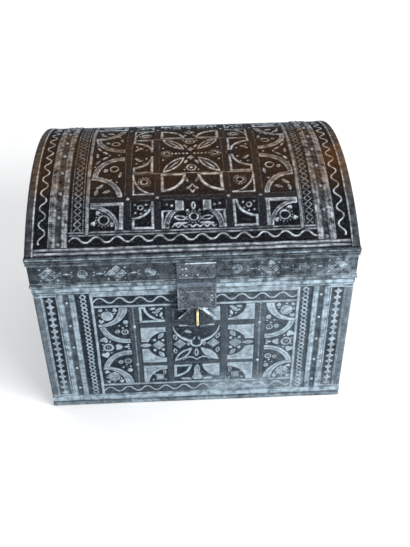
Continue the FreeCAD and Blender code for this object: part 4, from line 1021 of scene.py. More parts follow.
def bead(z: Grid, low: float, high: float, height: float, power: float = 2.0) -> Grid:
    """Give a rounded bead's section between two places.

    Args:
        z: Places across the moulding.
        low: Where the bead starts.
        high: Where it ends.
        height: Its height at the crest.
        power: 2 for a round section, more for a flatter top.

    Returns:
        The height at each place.
    """
    share = np.clip(abs(z - (low + high) / 2) / ((high - low) / 2), 0, 1)
    return height * np.sqrt(1 - share**power)


def crest(z: Grid, low: float, high: float, tone: float) -> Grid:
    """Give the rubbing of a bead between two places: palest along its crest."""
    share = np.clip(abs(z - (low + high) / 2) / ((high - low) / 2), 0, 1)
    return tone * ease(1.25 - share)


@dataclass
class SeamMoulding:
    """The double moulding nailed over a seam: two scored beads with a groove between them."""

    width: float = 28.0
    groove: float = 7.0
    floor: float = 0.8
    rise: float = 2.45
    score_share: float = 0.56
    cell: float = 0.7

    def work(self, x: Grid, z: Grid, seed: int, tone: float) -> Relief:
        """Draw the moulding.

        Args:
            x: Places across, from its middle.
            z: Places along it.
            seed: Number that fixes the hand's wobble.
            tone: How pale its beads are.

        Returns:
            The relief.
        """
        sheet = Relief(x, z, seed)
        pen = sheet.pen()
        outer, inner = self.width / 2, self.groove / 2
        away = abs(x)
        section = bead(away, inner, outer, self.rise, 3.0)
        pale = crest(away, inner, outer, tone)
        sheet.shape(np.maximum(section, self.floor * (away < outer - 1)), pale)
        score = inner + (outer - inner) * self.score_share
        pen.sink(abs(abs(pen.x) - score) - 0.25, 0.6, 1.5)
        sheet.dent()
        return sheet


@dataclass
class Ornament:
    """The traditional patterns that the panels are made of. Sizes are in millimetres."""

    strip: float = 4.2
    wave_pitch: float = 31.5
    wave_reach: float = 5.0
    wave_line: float = 2.3
    wave_start: float = 0.36
    braid_pitch: float = 8.6
    braid_reach: float = 4.0
    braid_line: float = 1.7

    def cut_square(
        self, pen: Pen, width: float, height: float, radius: float, fill: Fill, lift: float = 0
    ) -> None:
        """Raise a square with a quarter circle cut out round the origin.

        Args:
            pen: A pen at the cut-out's middle, whose axes point into the square.
            width: The square's width.
            height: Its height.
            radius: The cut-out's radius.
            fill: How the square is worked.
            lift: Distance of the square's near edge from the origin.
        """
        body = pen.between((0, width), (lift, lift + height))
        pen.stamp(overlap(body, -pen.disc(radius)), fill, 4 if fill is OUTLINE else 5.5)

    def lozenge_group(self, pen: Pen) -> None:
        """Raise a scored lozenge with four dots and two leaves, and a petal that points away."""
        self.scored_lozenge(pen.at(12.2, 0), 10.4)
        pen.dots([(18.6, 11.5), (4.9, 10.6), (18.6, -11.5), (4.9, -10.6)], 2.7)
        for side in (1, -1):
            pen.put(Pen.lens, (15, 7.2), (8, side * 21, side * 124), fill=DOUBLE, line=2.2)
        pen.put(Pen.lens, (19, 8.2), (33, 0))

    def scored_lozenge(self, pen: Pen, half: float) -> None:
        """Raise a lozenge with a cross scored into it."""
        pen.stamp(pen.lozenge(half, half), DOUBLE, 2, tone=0.8)
        turned = pen.at(0, 0, 45)
        inside = pen.lozenge(half * 0.7, half * 0.7)
        pen.sink(np.maximum(np.minimum(abs(turned.x), abs(turned.z)) - 0.3, inside), 0.45, 1.2)

    def spray(self, pen: Pen) -> None:
        """Raise a leaf spray in a quarter circle round the origin."""
        pen.put(Pen.lens, (17, 6.5), (10.5, 9.5, 45), fill=DOUBLE, line=2)
        pen.put(Pen.lens, (11, 4.6), (18, 5, 15), (5.5, 17.5, 75))
        pen.dots([(4, 5), (17.5, 12.5), (12.5, 19), (3.8, 25)], 1.7)

    def outer_column(self, pen: Pen, width: float, half: float, fill: Fill, leafy: bool) -> None:
        """Work one half of the tall column of curved bands.

        Args:
            pen: A pen at the outer top corner, whose axes point inwards and towards the middle.
            width: The column's width.
            half: Distance from its end to its middle.
            fill: How the bands are worked.
            leafy: True for a big leaf in the corner, or False for a toothed disc.
        """
        inside = pen.between((0, width), (0, half))
        outer = pen.at(4.5, -4.5).disc(44.4)
        band = overlap(outer, -pen.disc(34.8), inside)
        pen.stamp(band, fill, 3.4)
        if fill is SOLID:
            pen.sink(np.maximum(abs(pen.disc(40)) - 0.4, band + 1.5), 0.5, 1.4)
        arch = pen.at(width - 3.2, 32)
        cut_off = 44.8 - np.hypot(pen.x - 4.5, pen.z + 4.5)
        ring = overlap(abs(arch.disc(40.5)) - 4.6, inside, -arch.z - 2, arch.x - 4, cut_off)
        pen.stamp(ring, DOUBLE if fill is DOUBLE else SOLID, 2.8)
        if fill is not DOUBLE:
            pen.sink(np.maximum(abs(arch.disc(41)) - 0.4, ring + 1.2), 0.5, 1.3)
        rose = pen.at(15.6, 16.7)
        if leafy:
            rose.stamp(rose.serrated(10.5, 9), tone=0.85)
            for turn in (20, 55, 90):
                vein = rose.at(-3, -3, turn - 10)
                rose.sink(np.maximum(abs(vein.z) - 0.3, rose.disc(8.6)), 0.5, 1.2)
        else:
            rose.stamp(rose.serrated(9.6, 14), tone=0.95)
            rose.sink(abs(rose.disc(5.6)) - 0.2, 0.3, 1.2)
        for x, z, turn, size in ((28, 4.8, 150, 8), (6, 4.4, 45, 7), (5.2, 28.5, 100, 8.5)):
            pen.put(Pen.heart, (size,), (x, z, turn))
        pen.dots([(15.5, 3.4), (3.4, 15), (27.5, 11.5), (38.5, 43.5), (45, 39), (33, 38)], 1.6)
        flower = pen.at(width - 5, 31)
        flower.stamp(np.maximum(flower.serrated(4.2, 6), inside))
        for x, z, radius in ((29.6, 50.5, 3.9), (width - 7.4, 52.5, 5.6)):
            boss = pen.at(x, z)
            boss.stamp(boss.disc(radius), OUTLINE, 1.9)
            boss.stamp(boss.disc(1.2))
        pen.put(Pen.heart, (13,), (6.4, half - 17.4, -70))
        pen.dots([(15.5, half - 13), (3, half - 6.5)], 1.7)

    def column_heart(self, pen: Pen, width: float) -> None:
        """Work the ringed boss, the bud and the arrow at the tall column's middle."""
        boss = pen.at(11.6, 0)
        boss.stamp(boss.disc(8.8), OUTLINE, 3.4)
        boss.stamp(boss.disc(2.9), OUTLINE, 1.5)
        pen.put(Pen.heart, (12.5,), (29, 0))
        arrow = pen.at(width - 7, 0)
        arrow.stamp(arrow.lens(9.5, 4.4))
        arrow.dots([(3, 4.2), (3, -4.2)], 1.7)

    def bowl_cell(self, pen: Pen, half: float, left: Fill, right: Fill) -> None:
        """Work the middle of the front: a wide bowl over a cup, lozenges beside it and two petals below.

        Args:
            pen: A pen at the cell's middle.
            half: Half the cell's width.
            left: How the left petal is worked.
            right: How the right petal is worked.
        """
        outer, hollow = pen.at(0, 40).disc(37.5), -pen.at(0, 44.5).disc(36.4)
        bowl = overlap(outer, hollow, pen.z - 39, 7.2 - abs(pen.x))
        pen.stamp(bowl, height=1.6)
        cup = pen.at(0, 2.5)
        pen.stamp(np.maximum(abs(cup.disc(8.6)) - 1.6, cup.z - 4.5))
        for side, fill in ((-1, left), (1, right)):
            mirrored = pen.at(0, 0, flip_x=side)
            self.scored_lozenge(mirrored.at(half - 11.2, 0), 10.2)
            mirrored.put(Pen.lozenge, (3, 4.4), (12.8, -0.5), fill=OUTLINE, line=1.5)
            ovals = ((half - 4, 15.5, 70), (half - 4, -16, 82))
            mirrored.put(Pen.lens, (12.5, 6.2), *ovals, fill=OUTLINE, line=1.7)
            mirrored.put(Pen.lens, (41, 14), (21.8, -24.6, -45), fill=fill, line=3.2, height=1.6)
            mirrored.put(Pen.lens, (8, 2.8), (4.2, 11.5, 110))
        pen.put(Pen.lens, (12, 6), (-13.5, 27, -20), fill=DOUBLE, line=1.8)
        pen.put(Pen.lens, (18.5, 6.8), (0, -20.5, 90), fill=OUTLINE, line=1.9)
        swag = np.where(abs(pen.x) < 23, pen.z + 37.6 - 6.5 * abs(np.sin(math.pi * pen.x / 23)), 9)
        pen.ridge(swag / 1.25, 1.7)

    def plant_cell(self, pen: Pen, half: float, height: float, left: Fill, right: Fill) -> None:
        """Work a small plant between two quarter discs.

        Args:
            pen: A pen at the middle of the cell's edge where the quarter discs are.
            half: Half the cell's width.
            height: The cell's height.
            left: How the left quarter disc is worked.
            right: How the right one is worked.
        """
        for side, fill in ((-1, left), (1, right)):
            mirrored = pen.at(0, 0, flip_x=side)
            corner = mirrored.at(half, 0)
            quarter = np.maximum(corner.disc(29.5), mirrored.between((0, half), (0, height)))
            pen.stamp(quarter, fill, 4.6)
            mirrored.put(Pen.lens, (19, 6.4), (18, height - 4.6, -6), tone=0.8)
        pen.put(Pen.lens, (height * 0.62, 10), (0, height * 0.33, 90), fill=DOUBLE, line=2.4)
        for x, z, radius in ((0, height * 0.6, 6.2), (-3.2, height * 0.8, 5.6), (3.2, height * 0.8, 5.6)):
            pen.put(Pen.disc, (radius,), (x, z), tone=0.85)
        pen.sink(np.maximum(abs(pen.x) - 0.3, abs(pen.z - height * 0.62) - height * 0.26), 0.5, 1.3)

    def frame_band(self, pen: Pen, x: Ends, z: Ends) -> None:
        """Work the wave border above or below the panel, with the line that closes it.

        Args:
            pen: The sheet's pen.
            x: The border's ends.
            z: The closing line's middle and the wave's middle.
        """
        pen.raise_to(pen.between(x, (z[0] - self.strip / 2, z[0] + self.strip / 2)), 1.1, 0.85)
        phase = self.wave_pitch * self.wave_start
        pen.at(x[0] + 1, z[1]).wave(x[1] - x[0] - 2, self.wave_pitch, self.wave_reach, self.wave_line, phase)

    def chain_band(self, pen: Pen, x: float, z: Ends, strip: float) -> None:
        """Work an upright braid with a strip beside it.

        Args:
            pen: The sheet's pen.
            x: The braid's middle.
            z: Its ends.
            strip: The strip's middle.
        """
        pen.at(x, z[0] + 1.5, 90).braid(z[1] - z[0] - 3, self.braid_pitch, self.braid_reach, self.braid_line)
        pen.raise_to(pen.between((strip - self.strip / 2, strip + self.strip / 2), z), 1.2, 0.95)


@dataclass
class PanelLayout:
    """Where a box panel's columns and rows lie, in millimetres.

    Args:
        outer: The tall curved-band columns, left and right, or none.
        posts: The beaded upright bars, left and right, or none.
        squares: The columns of cut squares, left and right.
        bars: The plain upright bars beside the middle.
        braids: The middles of the two braids and, after each, of its strip.
    """

    outer: tuple[Ends, ...]
    posts: tuple[Ends, ...]
    squares: BothSides
    bars: BothSides
    braids: BothSides
    top_row: Ends = (188.6, 222.0)
    middle_row: Ends = (97.9, 177.2)
    bottom_row: Ends = (50.5, 90.2)
    top_line: float = 224.8
    top_wave: float = 237.2
    bottom_line: float = 47.4
    bottom_wave: float = 35.6


# Measured on the front, where the hand's columns aren't quite even.
FRONT_LAYOUT = PanelLayout(
    outer=((-153.4, -104.7), (160.0, 112.0)),
    posts=((-103.6, -89.0), (96.0, 111.0)),
    squares=((-87.4, -47.8), (94.6, 52.0)),
    bars=((-47.0, -38.0), (41.0, 51.2)),
    braids=((-171.8, -159.2), (173.4, 162.0)),
)
SIDE_LAYOUT = PanelLayout(
    outer=(),
    posts=(),
    squares=((-93.0, -47.8), (93.0, 47.8)),
    bars=((-47.0, -38.0), (38.0, 47.0)),
    braids=((-113.0, -99.6), (113.0, 99.6)),
)


def gap_between(bars: BothSides) -> Ends:
    """Give the middle and half the width of the cells between two bars."""
    left, right = bars[0][1] + 1.2, bars[1][0] - 1.2
    return (left + right) / 2, (right - left) / 2


@dataclass
class PanelDrawing:
    """Draws a box panel: columns of squares round a bowl and a plant, in borders of waves and braids."""

    layout: PanelLayout
    ornament: Ornament
    fills: tuple[Fill, Fill]
    low: float
    high: float
    hasp_bars: bool = False

    REST_LEVEL = 179.5

    def draw(self, sheet: Relief) -> None:
        """Draw the whole panel on a sheet."""
        pen = sheet.pen()
        self.borders(pen)
        self.bars(pen)
        for side in (0, 1):
            self.square_column(pen, side)
            if self.layout.outer:
                self.tall_column(pen, side)
        self.middle_column(pen)

    def borders(self, pen: Pen) -> None:
        """Draw the braids and the wave borders."""
        layout = self.layout
        for braid, strip in layout.braids:
            self.ornament.chain_band(pen, braid, (self.low, self.high), strip)
        ends = (layout.braids[0][1], layout.braids[1][1])
        pen.raise_to(pen.between(ends, (self.high - 7, self.high + 2)), 1.2, 0.9)
        self.ornament.frame_band(pen, ends, (layout.top_line, layout.top_wave))
        self.ornament.frame_band(pen, ends, (layout.bottom_line, layout.bottom_wave))

    def bars(self, pen: Pen) -> None:
        """Draw the scored bars between the cells."""
        layout = self.layout
        tall = (layout.bottom_row[0], layout.top_row[1])
        wide = (layout.squares[0][0], layout.squares[1][0])
        for bar in (*layout.posts, *layout.bars):
            pen.crossed(pen.between(bar, tall))
        for low, high in ((layout.bottom_row, layout.middle_row), (layout.middle_row, layout.top_row)):
            pen.crossed(pen.between(wide, (low[1] + 1.2, high[0] - 1.2)))
        for post in layout.posts:
            pen.at(sum(post) / 2, tall[0], 90).bead_row(tall[1] - tall[0], 3.4, 1.1)

    def square_column(self, pen: Pen, side: int) -> None:
        """Draw four cut squares and what stands in their cut-outs."""
        layout, art = self.layout, self.ornament
        outer, inner = layout.squares[side]
        width, fill = abs(outer - inner), self.fills[side]
        flip = -1 if outer < inner else 1
        top = pen.at(inner, layout.top_row[1], flip_x=flip, flip_z=-1)
        art.cut_square(top, width, layout.top_row[1] - layout.top_row[0], 29, fill)
        art.spray(top)
        middle_z = sum(layout.middle_row) / 2
        half = (layout.middle_row[1] - layout.middle_row[0]) / 2
        for up in (1, -1):
            middle = pen.at(inner, middle_z, flip_x=flip, flip_z=up)
            art.cut_square(middle, width, half - 8, 29.5, SOLID, 8)
        art.lozenge_group(pen.at(inner, middle_z, flip_x=flip))
        bottom = pen.at(inner, layout.bottom_row[0], flip_x=flip)
        height = layout.bottom_row[1] - layout.bottom_row[0]
        art.cut_square(bottom, width, height, 31, DOUBLE if fill is OUTLINE else fill)
        bottom.put(Pen.oblong, (6.2, 6.2), (13, 12), fill=DOUBLE, line=1.8)
        bottom.put(Pen.lens, (12, 5.4), (5, 24, 80), fill=OUTLINE, line=1.6)
        bottom.dots([(22, 19), (24.5, 5), (3.6, 5)], 1.6)

    def tall_column(self, pen: Pen, side: int) -> None:
        """Draw the tall column of curved bands, mirrored about its middle."""
        layout, art = self.layout, self.ornament
        outer, inner = layout.outer[side]
        flip = 1 if outer < inner else -1
        low, high = layout.bottom_row[0], layout.top_row[1]
        middle, width = (low + high) / 2, abs(outer - inner)
        fill = DOUBLE if self.fills[side] is OUTLINE else SOLID
        for z, up, leafy in ((high, -1, False), (low, 1, True)):
            art.outer_column(pen.at(outer, z, flip_x=flip, flip_z=up), width, middle - low, fill, leafy)
        art.column_heart(pen.at(outer, middle, flip_x=flip), width)

    def middle_column(self, pen: Pen) -> None:
        """Draw the bowl, and a plant above and below it."""
        layout, art = self.layout, self.ornament
        middle, half = gap_between(layout.bars)
        art.bowl_cell(pen.at(middle, sum(layout.middle_row) / 2 + 1), half, *self.fills)
        below = layout.bottom_row
        art.plant_cell(pen.at(middle, below[1], flip_z=-1), half, below[1] - below[0], *self.fills)
        above = layout.top_row
        art.plant_cell(pen.at(middle, above[0]), half, above[1] - above[0], *self.fills)
        if self.hasp_bars:
            for x in (-18.5, 20.6):
                rest = pen.at(x + middle, self.REST_LEVEL)
                rest.raise_to(rest.oblong(8.5, 1.7))


@dataclass
class ChestBox:
    """The box: its embossed sheets, its mouldings and its nails."""

    shop: Workshop
    ornament: Ornament
    sheet: float = 1.2
    cell: float = 1.0
    fold: float = 2.2
    seam: SeamMoulding = field(default_factory=SeamMoulding)

    CORNER_CELL = (0.8, 0.9)
    SEAM_CELL = 1.0
    RAIL_CELL = (1.2, 0.7)
    CORNER_WOBBLE = 0.4
    PALE = 0.95
    PANEL_SEED = 11
    CORNER_SEED = 51
    SEED_STEP = 10
    PATCH_SEED = 90
    SEAM_SEED = 101
    FOOT_SEED = 141
    RAIL_SEED = 200

    def build(self) -> None:
        """Make every piece of the box's covering."""
        self.low = float(span("front_base_moulding")[1][2])
        self.high = float(span("front_top_moulding")[0][2])
        self.wide, self.deep = Side.RIGHT.face("right_sheet"), Side.FRONT.face("front_sheet")
        self.panels()
        self.corners()
        self.seams()
        self.rails()
        self.shop.dress(NAIL_STEEL, "box_nails")

    def face_of(self, side: Side) -> float:
        """Distance of one side's sheet face from the middle."""
        return self.wide if side in (Side.LEFT, Side.RIGHT) else self.deep

    def heights(self, node: str, cell: float) -> Grid:
        """Places up a sheet, whose ends are hidden by the base and top mouldings."""
        low, high = span(node)
        return steps(low[2], high[2], cell, self.low - low[2] - 1)

    def panels(self) -> None:
        """Emboss the four panel sheets."""
        plans = (
            (Side.FRONT, FRONT_LAYOUT, (OUTLINE, SOLID), True),
            (Side.BACK, FRONT_LAYOUT, (OUTLINE, OUTLINE), False),
            (Side.LEFT, SIDE_LAYOUT, (OUTLINE, SOLID), False),
            (Side.RIGHT, SIDE_LAYOUT, (SOLID, OUTLINE), False),
        )
        for number, (side, layout, fills, hasp_bars) in enumerate(plans):
            word = side.word
            node = f"{word}_sheet"
            reach = side.half_length(node)
            across = steps(-reach, reach, self.cell, self.seam.width / 2 - 1)
            seed = self.PANEL_SEED + self.SEED_STEP * number
            sheet = Relief(*np.meshgrid(across, self.heights(node, self.cell)), seed)
            PanelDrawing(layout, self.ornament, fills, self.low, self.high, hasp_bars).draw(sheet)
            self.age(sheet, self.PATCH_SEED + number)
            if hasp_bars:
                self.shade_and_flatten_at_hasp(sheet)
            sheet.dent()
            self.shop.cover(
                f"{word}_panel_embossed", sheet, on_side(side, side.face(node)), FRONT_METAL, "chest", node,
                thickness=self.sheet,
            )

    def age(self, sheet: Relief, seed: int) -> None:
        """Pale the ground towards the foot and to the right: wear, and painted light that falls from the
        right.
        """
        patches = sheet.cloud(38.0, seed)
        # Painted light: the ground grows paler to the right, where the light comes from; the foot is worn
        # paler too.
        right = ease((sheet.x + 50) / 210) * 0.19
        foot = ease((76 - sheet.z) / 50) * (0.12 + 0.8 * ease((sheet.x + 60) / 170))
        sheet.wear(np.clip((right + foot) * (0.35 + patches), 0, 0.8))

    def shade_and_flatten_at_hasp(self, sheet: Relief) -> None:
        """Paint the shadow that the hasp's leaf casts beside it, and beat the sheet flat under the staple's
        plate.
        """
        # Painted shadow: the panel left of the hasp's leaf is darkened where the leaf's shadow falls.
        hasp_shadow = ease((sheet.x + 44) / 8) * ease((-4 - sheet.x) / 6) * ease((sheet.z - 184) / 5)
        sheet.paint_shade(0.85 * hasp_shadow)
        low, high = span("staple_plate")
        middle, half = (low + high) / 2, (high - low) / 2
        plate = np.maximum(abs(sheet.x - middle[0]) - half[0], abs(sheet.z - middle[2]) - half[2])
        sheet.flatten(ease(2 - plate))

    def corners(self) -> None:
        """Wrap a star-banded sheet round each upright corner."""
        order = (Side.LEFT, Side.FRONT, Side.RIGHT, Side.BACK, Side.LEFT)
        names = ("front_left", "front_right", "back_right", "back_left")
        for number, (word, first, second) in enumerate(zip(names, order, order[1:])):
            node = f"{word}_corner_sheet"
            ends = span(f"{word.split('_')[0]}_seam_mouldings")[1][0] - self.seam.width / 2
            leg = self.wide - float(span("front_sheet")[1][0])
            shown = self.wide - ends - self.seam.width / 2 + 1
            across = steps(-leg, leg, self.CORNER_CELL[0], leg - shown)
            seed = self.CORNER_SEED + self.SEED_STEP * number
            grid = np.meshgrid(across, self.heights(node, self.CORNER_CELL[1]))
            sheet = Relief(*grid, seed, self.CORNER_WOBBLE)
            self.draw_corner(sheet, "right" in word)
            corner = first.out * self.face_of(first) + second.out * self.face_of(second)
            self.shop.cover(
                f"{word}_corner_embossed", sheet, round_corner(first, second, corner, self.fold), FRONT_METAL,
                "chest", node, thickness=self.sheet, bent=True,
            )

    def draw_corner(self, sheet: Relief, worn: bool) -> None:
        """Draw the raised edge strip and a band of stars on each side of it.

        Args:
            sheet: The corner's sheet.
            worn: True where hands have rubbed the whole corner.
        """
        pen = sheet.pen()
        pen.raise_to(pen.oblong(10.0, 1000.0), 2.2, 0.38)
        pen.sink(abs(abs(pen.x) - 7.6) - 0.2, 0.35, 1.2)
        for side in (-1, 1):
            band = pen.at(side * 20.8, self.low + 1.5, 90)
            band.star_row(self.high - self.low - 5, 13.0, 6.4)
            for strip in (32.0, 10.8):
                rail = pen.at(side * strip, 0)
                rail.ridge(rail.x, 1.6, 0.8, 0.8)
        for z in (self.low + 1.4, self.high - 2.2):
            rail = pen.at(0, z)
            rail.raise_to(rail.oblong(33.5, 2.0), 1.2, 0.9)
        patches = sheet.cloud(24.0, sheet.seed + 3)
        sheet.wear(np.clip(0.5 * ease((90 - sheet.z) / 70) * patches, 0, 0.5))
        if worn:
            sheet.wear(0.2 * sheet.cloud(30.0, sheet.seed + 5))
        sheet.dent()

    def seams(self) -> None:
        """Lay the double mouldings over the seams."""
        half = self.seam.width / 2
        for number, side in enumerate(Side):
            node = f"{side.word}_seam_mouldings"
            low, high = span(node)
            ends = side.half_length(node) - half
            x, z = np.meshgrid(steps(-half, half, self.seam.cell), steps(low[2], high[2], self.SEAM_CELL))
            for count, (hand, word) in enumerate(((-1, "left"), (1, "right")), 2 * number):
                sheet = self.seam.work(x, z, self.SEAM_SEED + count, self.PALE)
                sheet.wear(0.5 * ease((70 - z) / 45) * cloud(x, z, 9.0, self.FOOT_SEED + count))
                place = on_side(side, self.face_of(side), shift=hand * ends)
                nodes = (node,) if hand == 1 else ()
                self.shop.cover(
                    f"{side.word}_{word}_seam_moulding", sheet, place, MOULDING_METAL, "chest", *nodes
                )

    def rails(self) -> None:
        """Lay the mitred mouldings round the foot and round the top edge."""
        for number, side in enumerate(Side):
            for word, section in (("base", self.base_section), ("top", self.top_section)):
                node = f"{side.word}_{word}_moulding"
                low, high = span(node)
                half = self.wide if side in (Side.FRONT, Side.BACK) else self.deep
                seed = self.RAIL_SEED + self.SEED_STEP * number + len(word)
                across, up = self.RAIL_CELL
                sheet = Relief(*np.meshgrid(steps(-half, half, across), steps(low[2], high[2], up)), seed)
                section(sheet, low[2], high[2])
                sheet.dent()
                place = on_side(side, self.face_of(side), half)
                self.shop.cover(f"{node}_hammered", sheet, place, MOULDING_METAL, "chest", node)

    def base_section(self, sheet: Relief, low: float, high: float) -> None:
        """Draw the foot bead, dark, and the pale bead over it."""
        z, split = sheet.z, low + (high - low) * 0.42
        patches = cloud(sheet.x, z, 26.0, sheet.seed + 5)
        sheet.shape(bead(z, low, split, 2.5), crest(z, low, split, 1.0) * (0.3 + 0.5 * patches))
        sheet.shape(bead(z, split, high, 2.3, 3.0), crest(z, split, high, 1.3) * (0.85 + 0.15 * patches))
        sheet.wear(0.75 * patches * (z > split))

    def top_section(self, sheet: Relief, low: float, high: float) -> None:
        """Draw the broad bead with a fillet under it."""
        z, split = sheet.z, low + (high - low) * 0.3
        sheet.shape(bead(z, low, split, 1.5), crest(z, low, split, 0.85))
        sheet.shape(bead(z, split, high, 2.4, 3.5), crest(z, split, high, 1.0))


@dataclass
class CrownLayout:
    """Where the crown's columns and rows lie: across the chest, and up from the rim along the dome."""

    outer: BothSides = ((-153.3, -103.0), (161.4, 113.0))
    posts: BothSides = ((-101.8, -91.2), (101.4, 112.0))
    squares: BothSides = ((-89.8, -57.0), (100.0, 63.2))
    bars: BothSides = ((-56.0, -46.8), (52.6, 62.2))
    strips: Ends = (-157.4, 165.4)
    stitches: Ends = (-171.8, 177.8)
    wave: float = 24.6
    line: float = 36.6
    first_row: Ends = (39.5, 88.5)
    second_row: Ends = (101.2, 145.5)
    third_row: Ends = (148.0, 193.0)
    border: Ends = (-184.0, 186.0)
    rim_beads: Ends = (4.0, 10.0)


@dataclass
class CrownDrawing:
    """Draws the lid's covering, the same on both sides of the crown."""

    layout: CrownLayout
    ornament: Ornament
    half_arc: float

    def draw(self, sheet: Relief) -> None:
        """Draw the whole crown on a sheet."""
        strayed = sheet.pen()
        pen = Pen(sheet, strayed.x, self.half_arc - abs(strayed.z))
        self.borders(pen)
        self.bars(pen)
        for side in (0, 1):
            self.tall_column(pen, side)
            self.square_column(pen, side)
        self.middle(pen)

    def borders(self, pen: Pen) -> None:
        """Draw the wave over the rim, the beaded line, the upright strips and the cross-stitch bands."""
        layout = self.layout
        left, right = layout.border
        art = self.ornament
        for level in layout.rim_beads:
            pen.ridge(pen.z - level, 5.6, 1.5, 0.6)
        pen.at(left, layout.wave).wave(right - left, 31.4, 4.4, 2.4, 9.2)
        pen.at(left, layout.line).bead_row(right - left, 2.6, 0.9, 0.8)
        pen.raise_to(pen.between((left, right), (layout.line - 1.6, layout.line + 1.6)), 0.7, 0.3)
        for strip in layout.strips:
            pen.raise_to(pen.between((strip - 2.4, strip + 2.4), (33, 260)), 1.1, 0.75)
        for band in layout.stitches:
            stitch = pen.at(band, layout.first_row[0], 90)
            along = stitch.x - (np.floor(stitch.x / 11.5) + 0.5) * 11.5
            cross = abs(abs(along) - abs(stitch.z)) / math.sqrt(2)
            pen.ridge(np.where((abs(stitch.z) < 5.6) & (stitch.x > 0), cross, 9), 1.3, 0.6, 0.16)
            for edge in (-8.6, 8.6):
                pen.at(band + edge, layout.first_row[0], 90).bead_row(180, 3.2, 0.7, 0.2)
        pen.raise_to(pen.between((left, right), (33 - art.strip / 2, 33)), 0.8, 0.5)

    def bars(self, pen: Pen) -> None:
        """Draw the scored bars between the cells."""
        layout = self.layout
        for bar in (*layout.posts, *layout.bars):
            pen.crossed(pen.between(bar, (layout.first_row[0], 260)), 0)
        ends = (layout.outer[0][0], layout.outer[1][0])
        pen.crossed(pen.between(ends, (layout.first_row[1] + 1.2, layout.second_row[0] - 1.4)), 0)
        for x in (*(sum(bar) / 2 for bar in layout.posts), *(sum(bar) / 2 for bar in layout.bars)):
            pen.put(Pen.disc, (2.6,), (x, (layout.first_row[1] + layout.second_row[0]) / 2))
        wide = (layout.squares[0][0], layout.squares[1][0])
        rail = pen.between(wide, (layout.second_row[1] + 0.2, layout.third_row[0] - 0.2))
        pen.raise_to(rail, 1, 0.8)

    def tall_column(self, pen: Pen, side: int) -> None:
        """Draw the framed quarter ring of the first row and the pointed bands above it."""
        layout = self.layout
        outer, inner = layout.outer[side]
        width, flip = abs(outer - inner), 1 if outer < inner else -1
        low, high = layout.first_row
        cell = pen.at(outer, low, flip_x=flip)
        height = high - low
        inside = cell.between((0, width), (0, height))
        hollow = cell.between((-9, width - 6), (-9, height - 6))
        cell.raise_to(np.maximum(inside, -hollow), 1.5, 1)
        ring = np.maximum(abs(cell.disc(41.5)) - 3, cell.between((0, width - 4), (0, height - 4)))
        cell.stamp(ring, DOUBLE, 2.1)
        self.beaded_disc(cell.at(20.7, 17.5), 8.6)
        cell.put(Pen.heart, (7.5,), (5.5, 12, 60), (12, 31, 120), (33.5, 10, 20))
        low, high = layout.second_row
        cell = pen.at(outer, low, flip_x=flip)
        self.pointed_bands(cell, width, high - low)

    def beaded_disc(self, pen: Pen, radius: float) -> None:
        """Raise a ring with a ring of beads round it."""
        pen.stamp(pen.disc(radius), OUTLINE, 1.9)
        pen.bead_ring(radius + 3, 14, 0.9)

    def pointed_bands(self, cell: Pen, width: float, height: float) -> None:
        """Raise two quarter bands that meet in a point at the outer edge, with curls between them.

        Args:
            cell: A pen at the second row's outer lower corner.
            width: The column's width.
            height: The second row's height.
        """
        room = cell.between((0, width), (-2, 200))
        upper = cell.at(width, height - 3)
        band = overlap(abs(upper.disc(45)) - 4.2, room, -upper.z, upper.x)
        cell.stamp(band, DOUBLE, 2.4, 1.5)
        band = overlap(abs(cell.at(0, -5).disc(44)) - 4, room, upper.z + 0.6)
        cell.stamp(band, DOUBLE, 2.4, 1.5)
        for x, z, radius in ((34.5, 60, 7.2), (21, 56.5, 3.2)):
            cell.put(Pen.disc, (radius,), (x, z), fill=OUTLINE, line=1.8)
        curls = ((15, (13, 20, 40)), (13, (24, 10, 20)), (12, (8, 8, 75)), (13, (44, 46, 80)))
        for length, place in curls:
            cell.put(Pen.lens, (length, 4.4), place, fill=OUTLINE, line=1.5)
        cell.put(Pen.lens, (12, 4), (8, 78, 60), (18, 90, 40), tone=0.9)
        cell.put(Pen.lens, (9, 4), (6, 96, 80), tone=0.9)
        cell.dots([(14, 70), (4, 66), (25, 98), (33, 101), (41, 98), (12, 102), (30, 34), (39, 29)], 1.5)

    def square_column(self, pen: Pen, side: int) -> None:
        """Draw the cut squares of the first and third rows and the quarter ring of the second."""
        layout, art = self.layout, self.ornament
        outer, inner = layout.squares[side]
        width, flip = abs(outer - inner), 1 if outer < inner else -1
        low, high = layout.first_row
        top = pen.at(outer, high, flip_x=flip, flip_z=-1)
        art.cut_square(top, width, high - low, 29, OUTLINE)
        top.put(Pen.serrated, (4.6, 7), (12.5, 11), fill=OUTLINE, line=1.6)
        top.dots([(4, 5), (21, 6), (5, 20), (20, 17), (13, 22)], 1.5)
        low, high = layout.second_row
        edge = pen.between((outer, inner), (low, high))
        corner = pen.at(inner, high, flip_x=flip)
        hollow = 36 * (np.hypot(corner.x / (width - 2.6), corner.z / (high - low - 3.4)) - 1)
        pen.stamp(np.maximum(edge, -hollow), OUTLINE, 2.6)
        self.beaded_disc(pen.at(inner, high, flip_x=-flip, flip_z=-1).at(14, 17), 6.4)
        low, high = layout.third_row
        third = pen.at(outer, high, flip_x=flip, flip_z=-1)
        art.cut_square(third, width, high - low, 29, OUTLINE)
        third.dots([(5, 5), (14, 12), (22, 6), (6, 19), (18, 20)], 1.5)
        third.put(Pen.lens, (12, 4.6), (9, 10, 45), fill=OUTLINE, line=1.5)

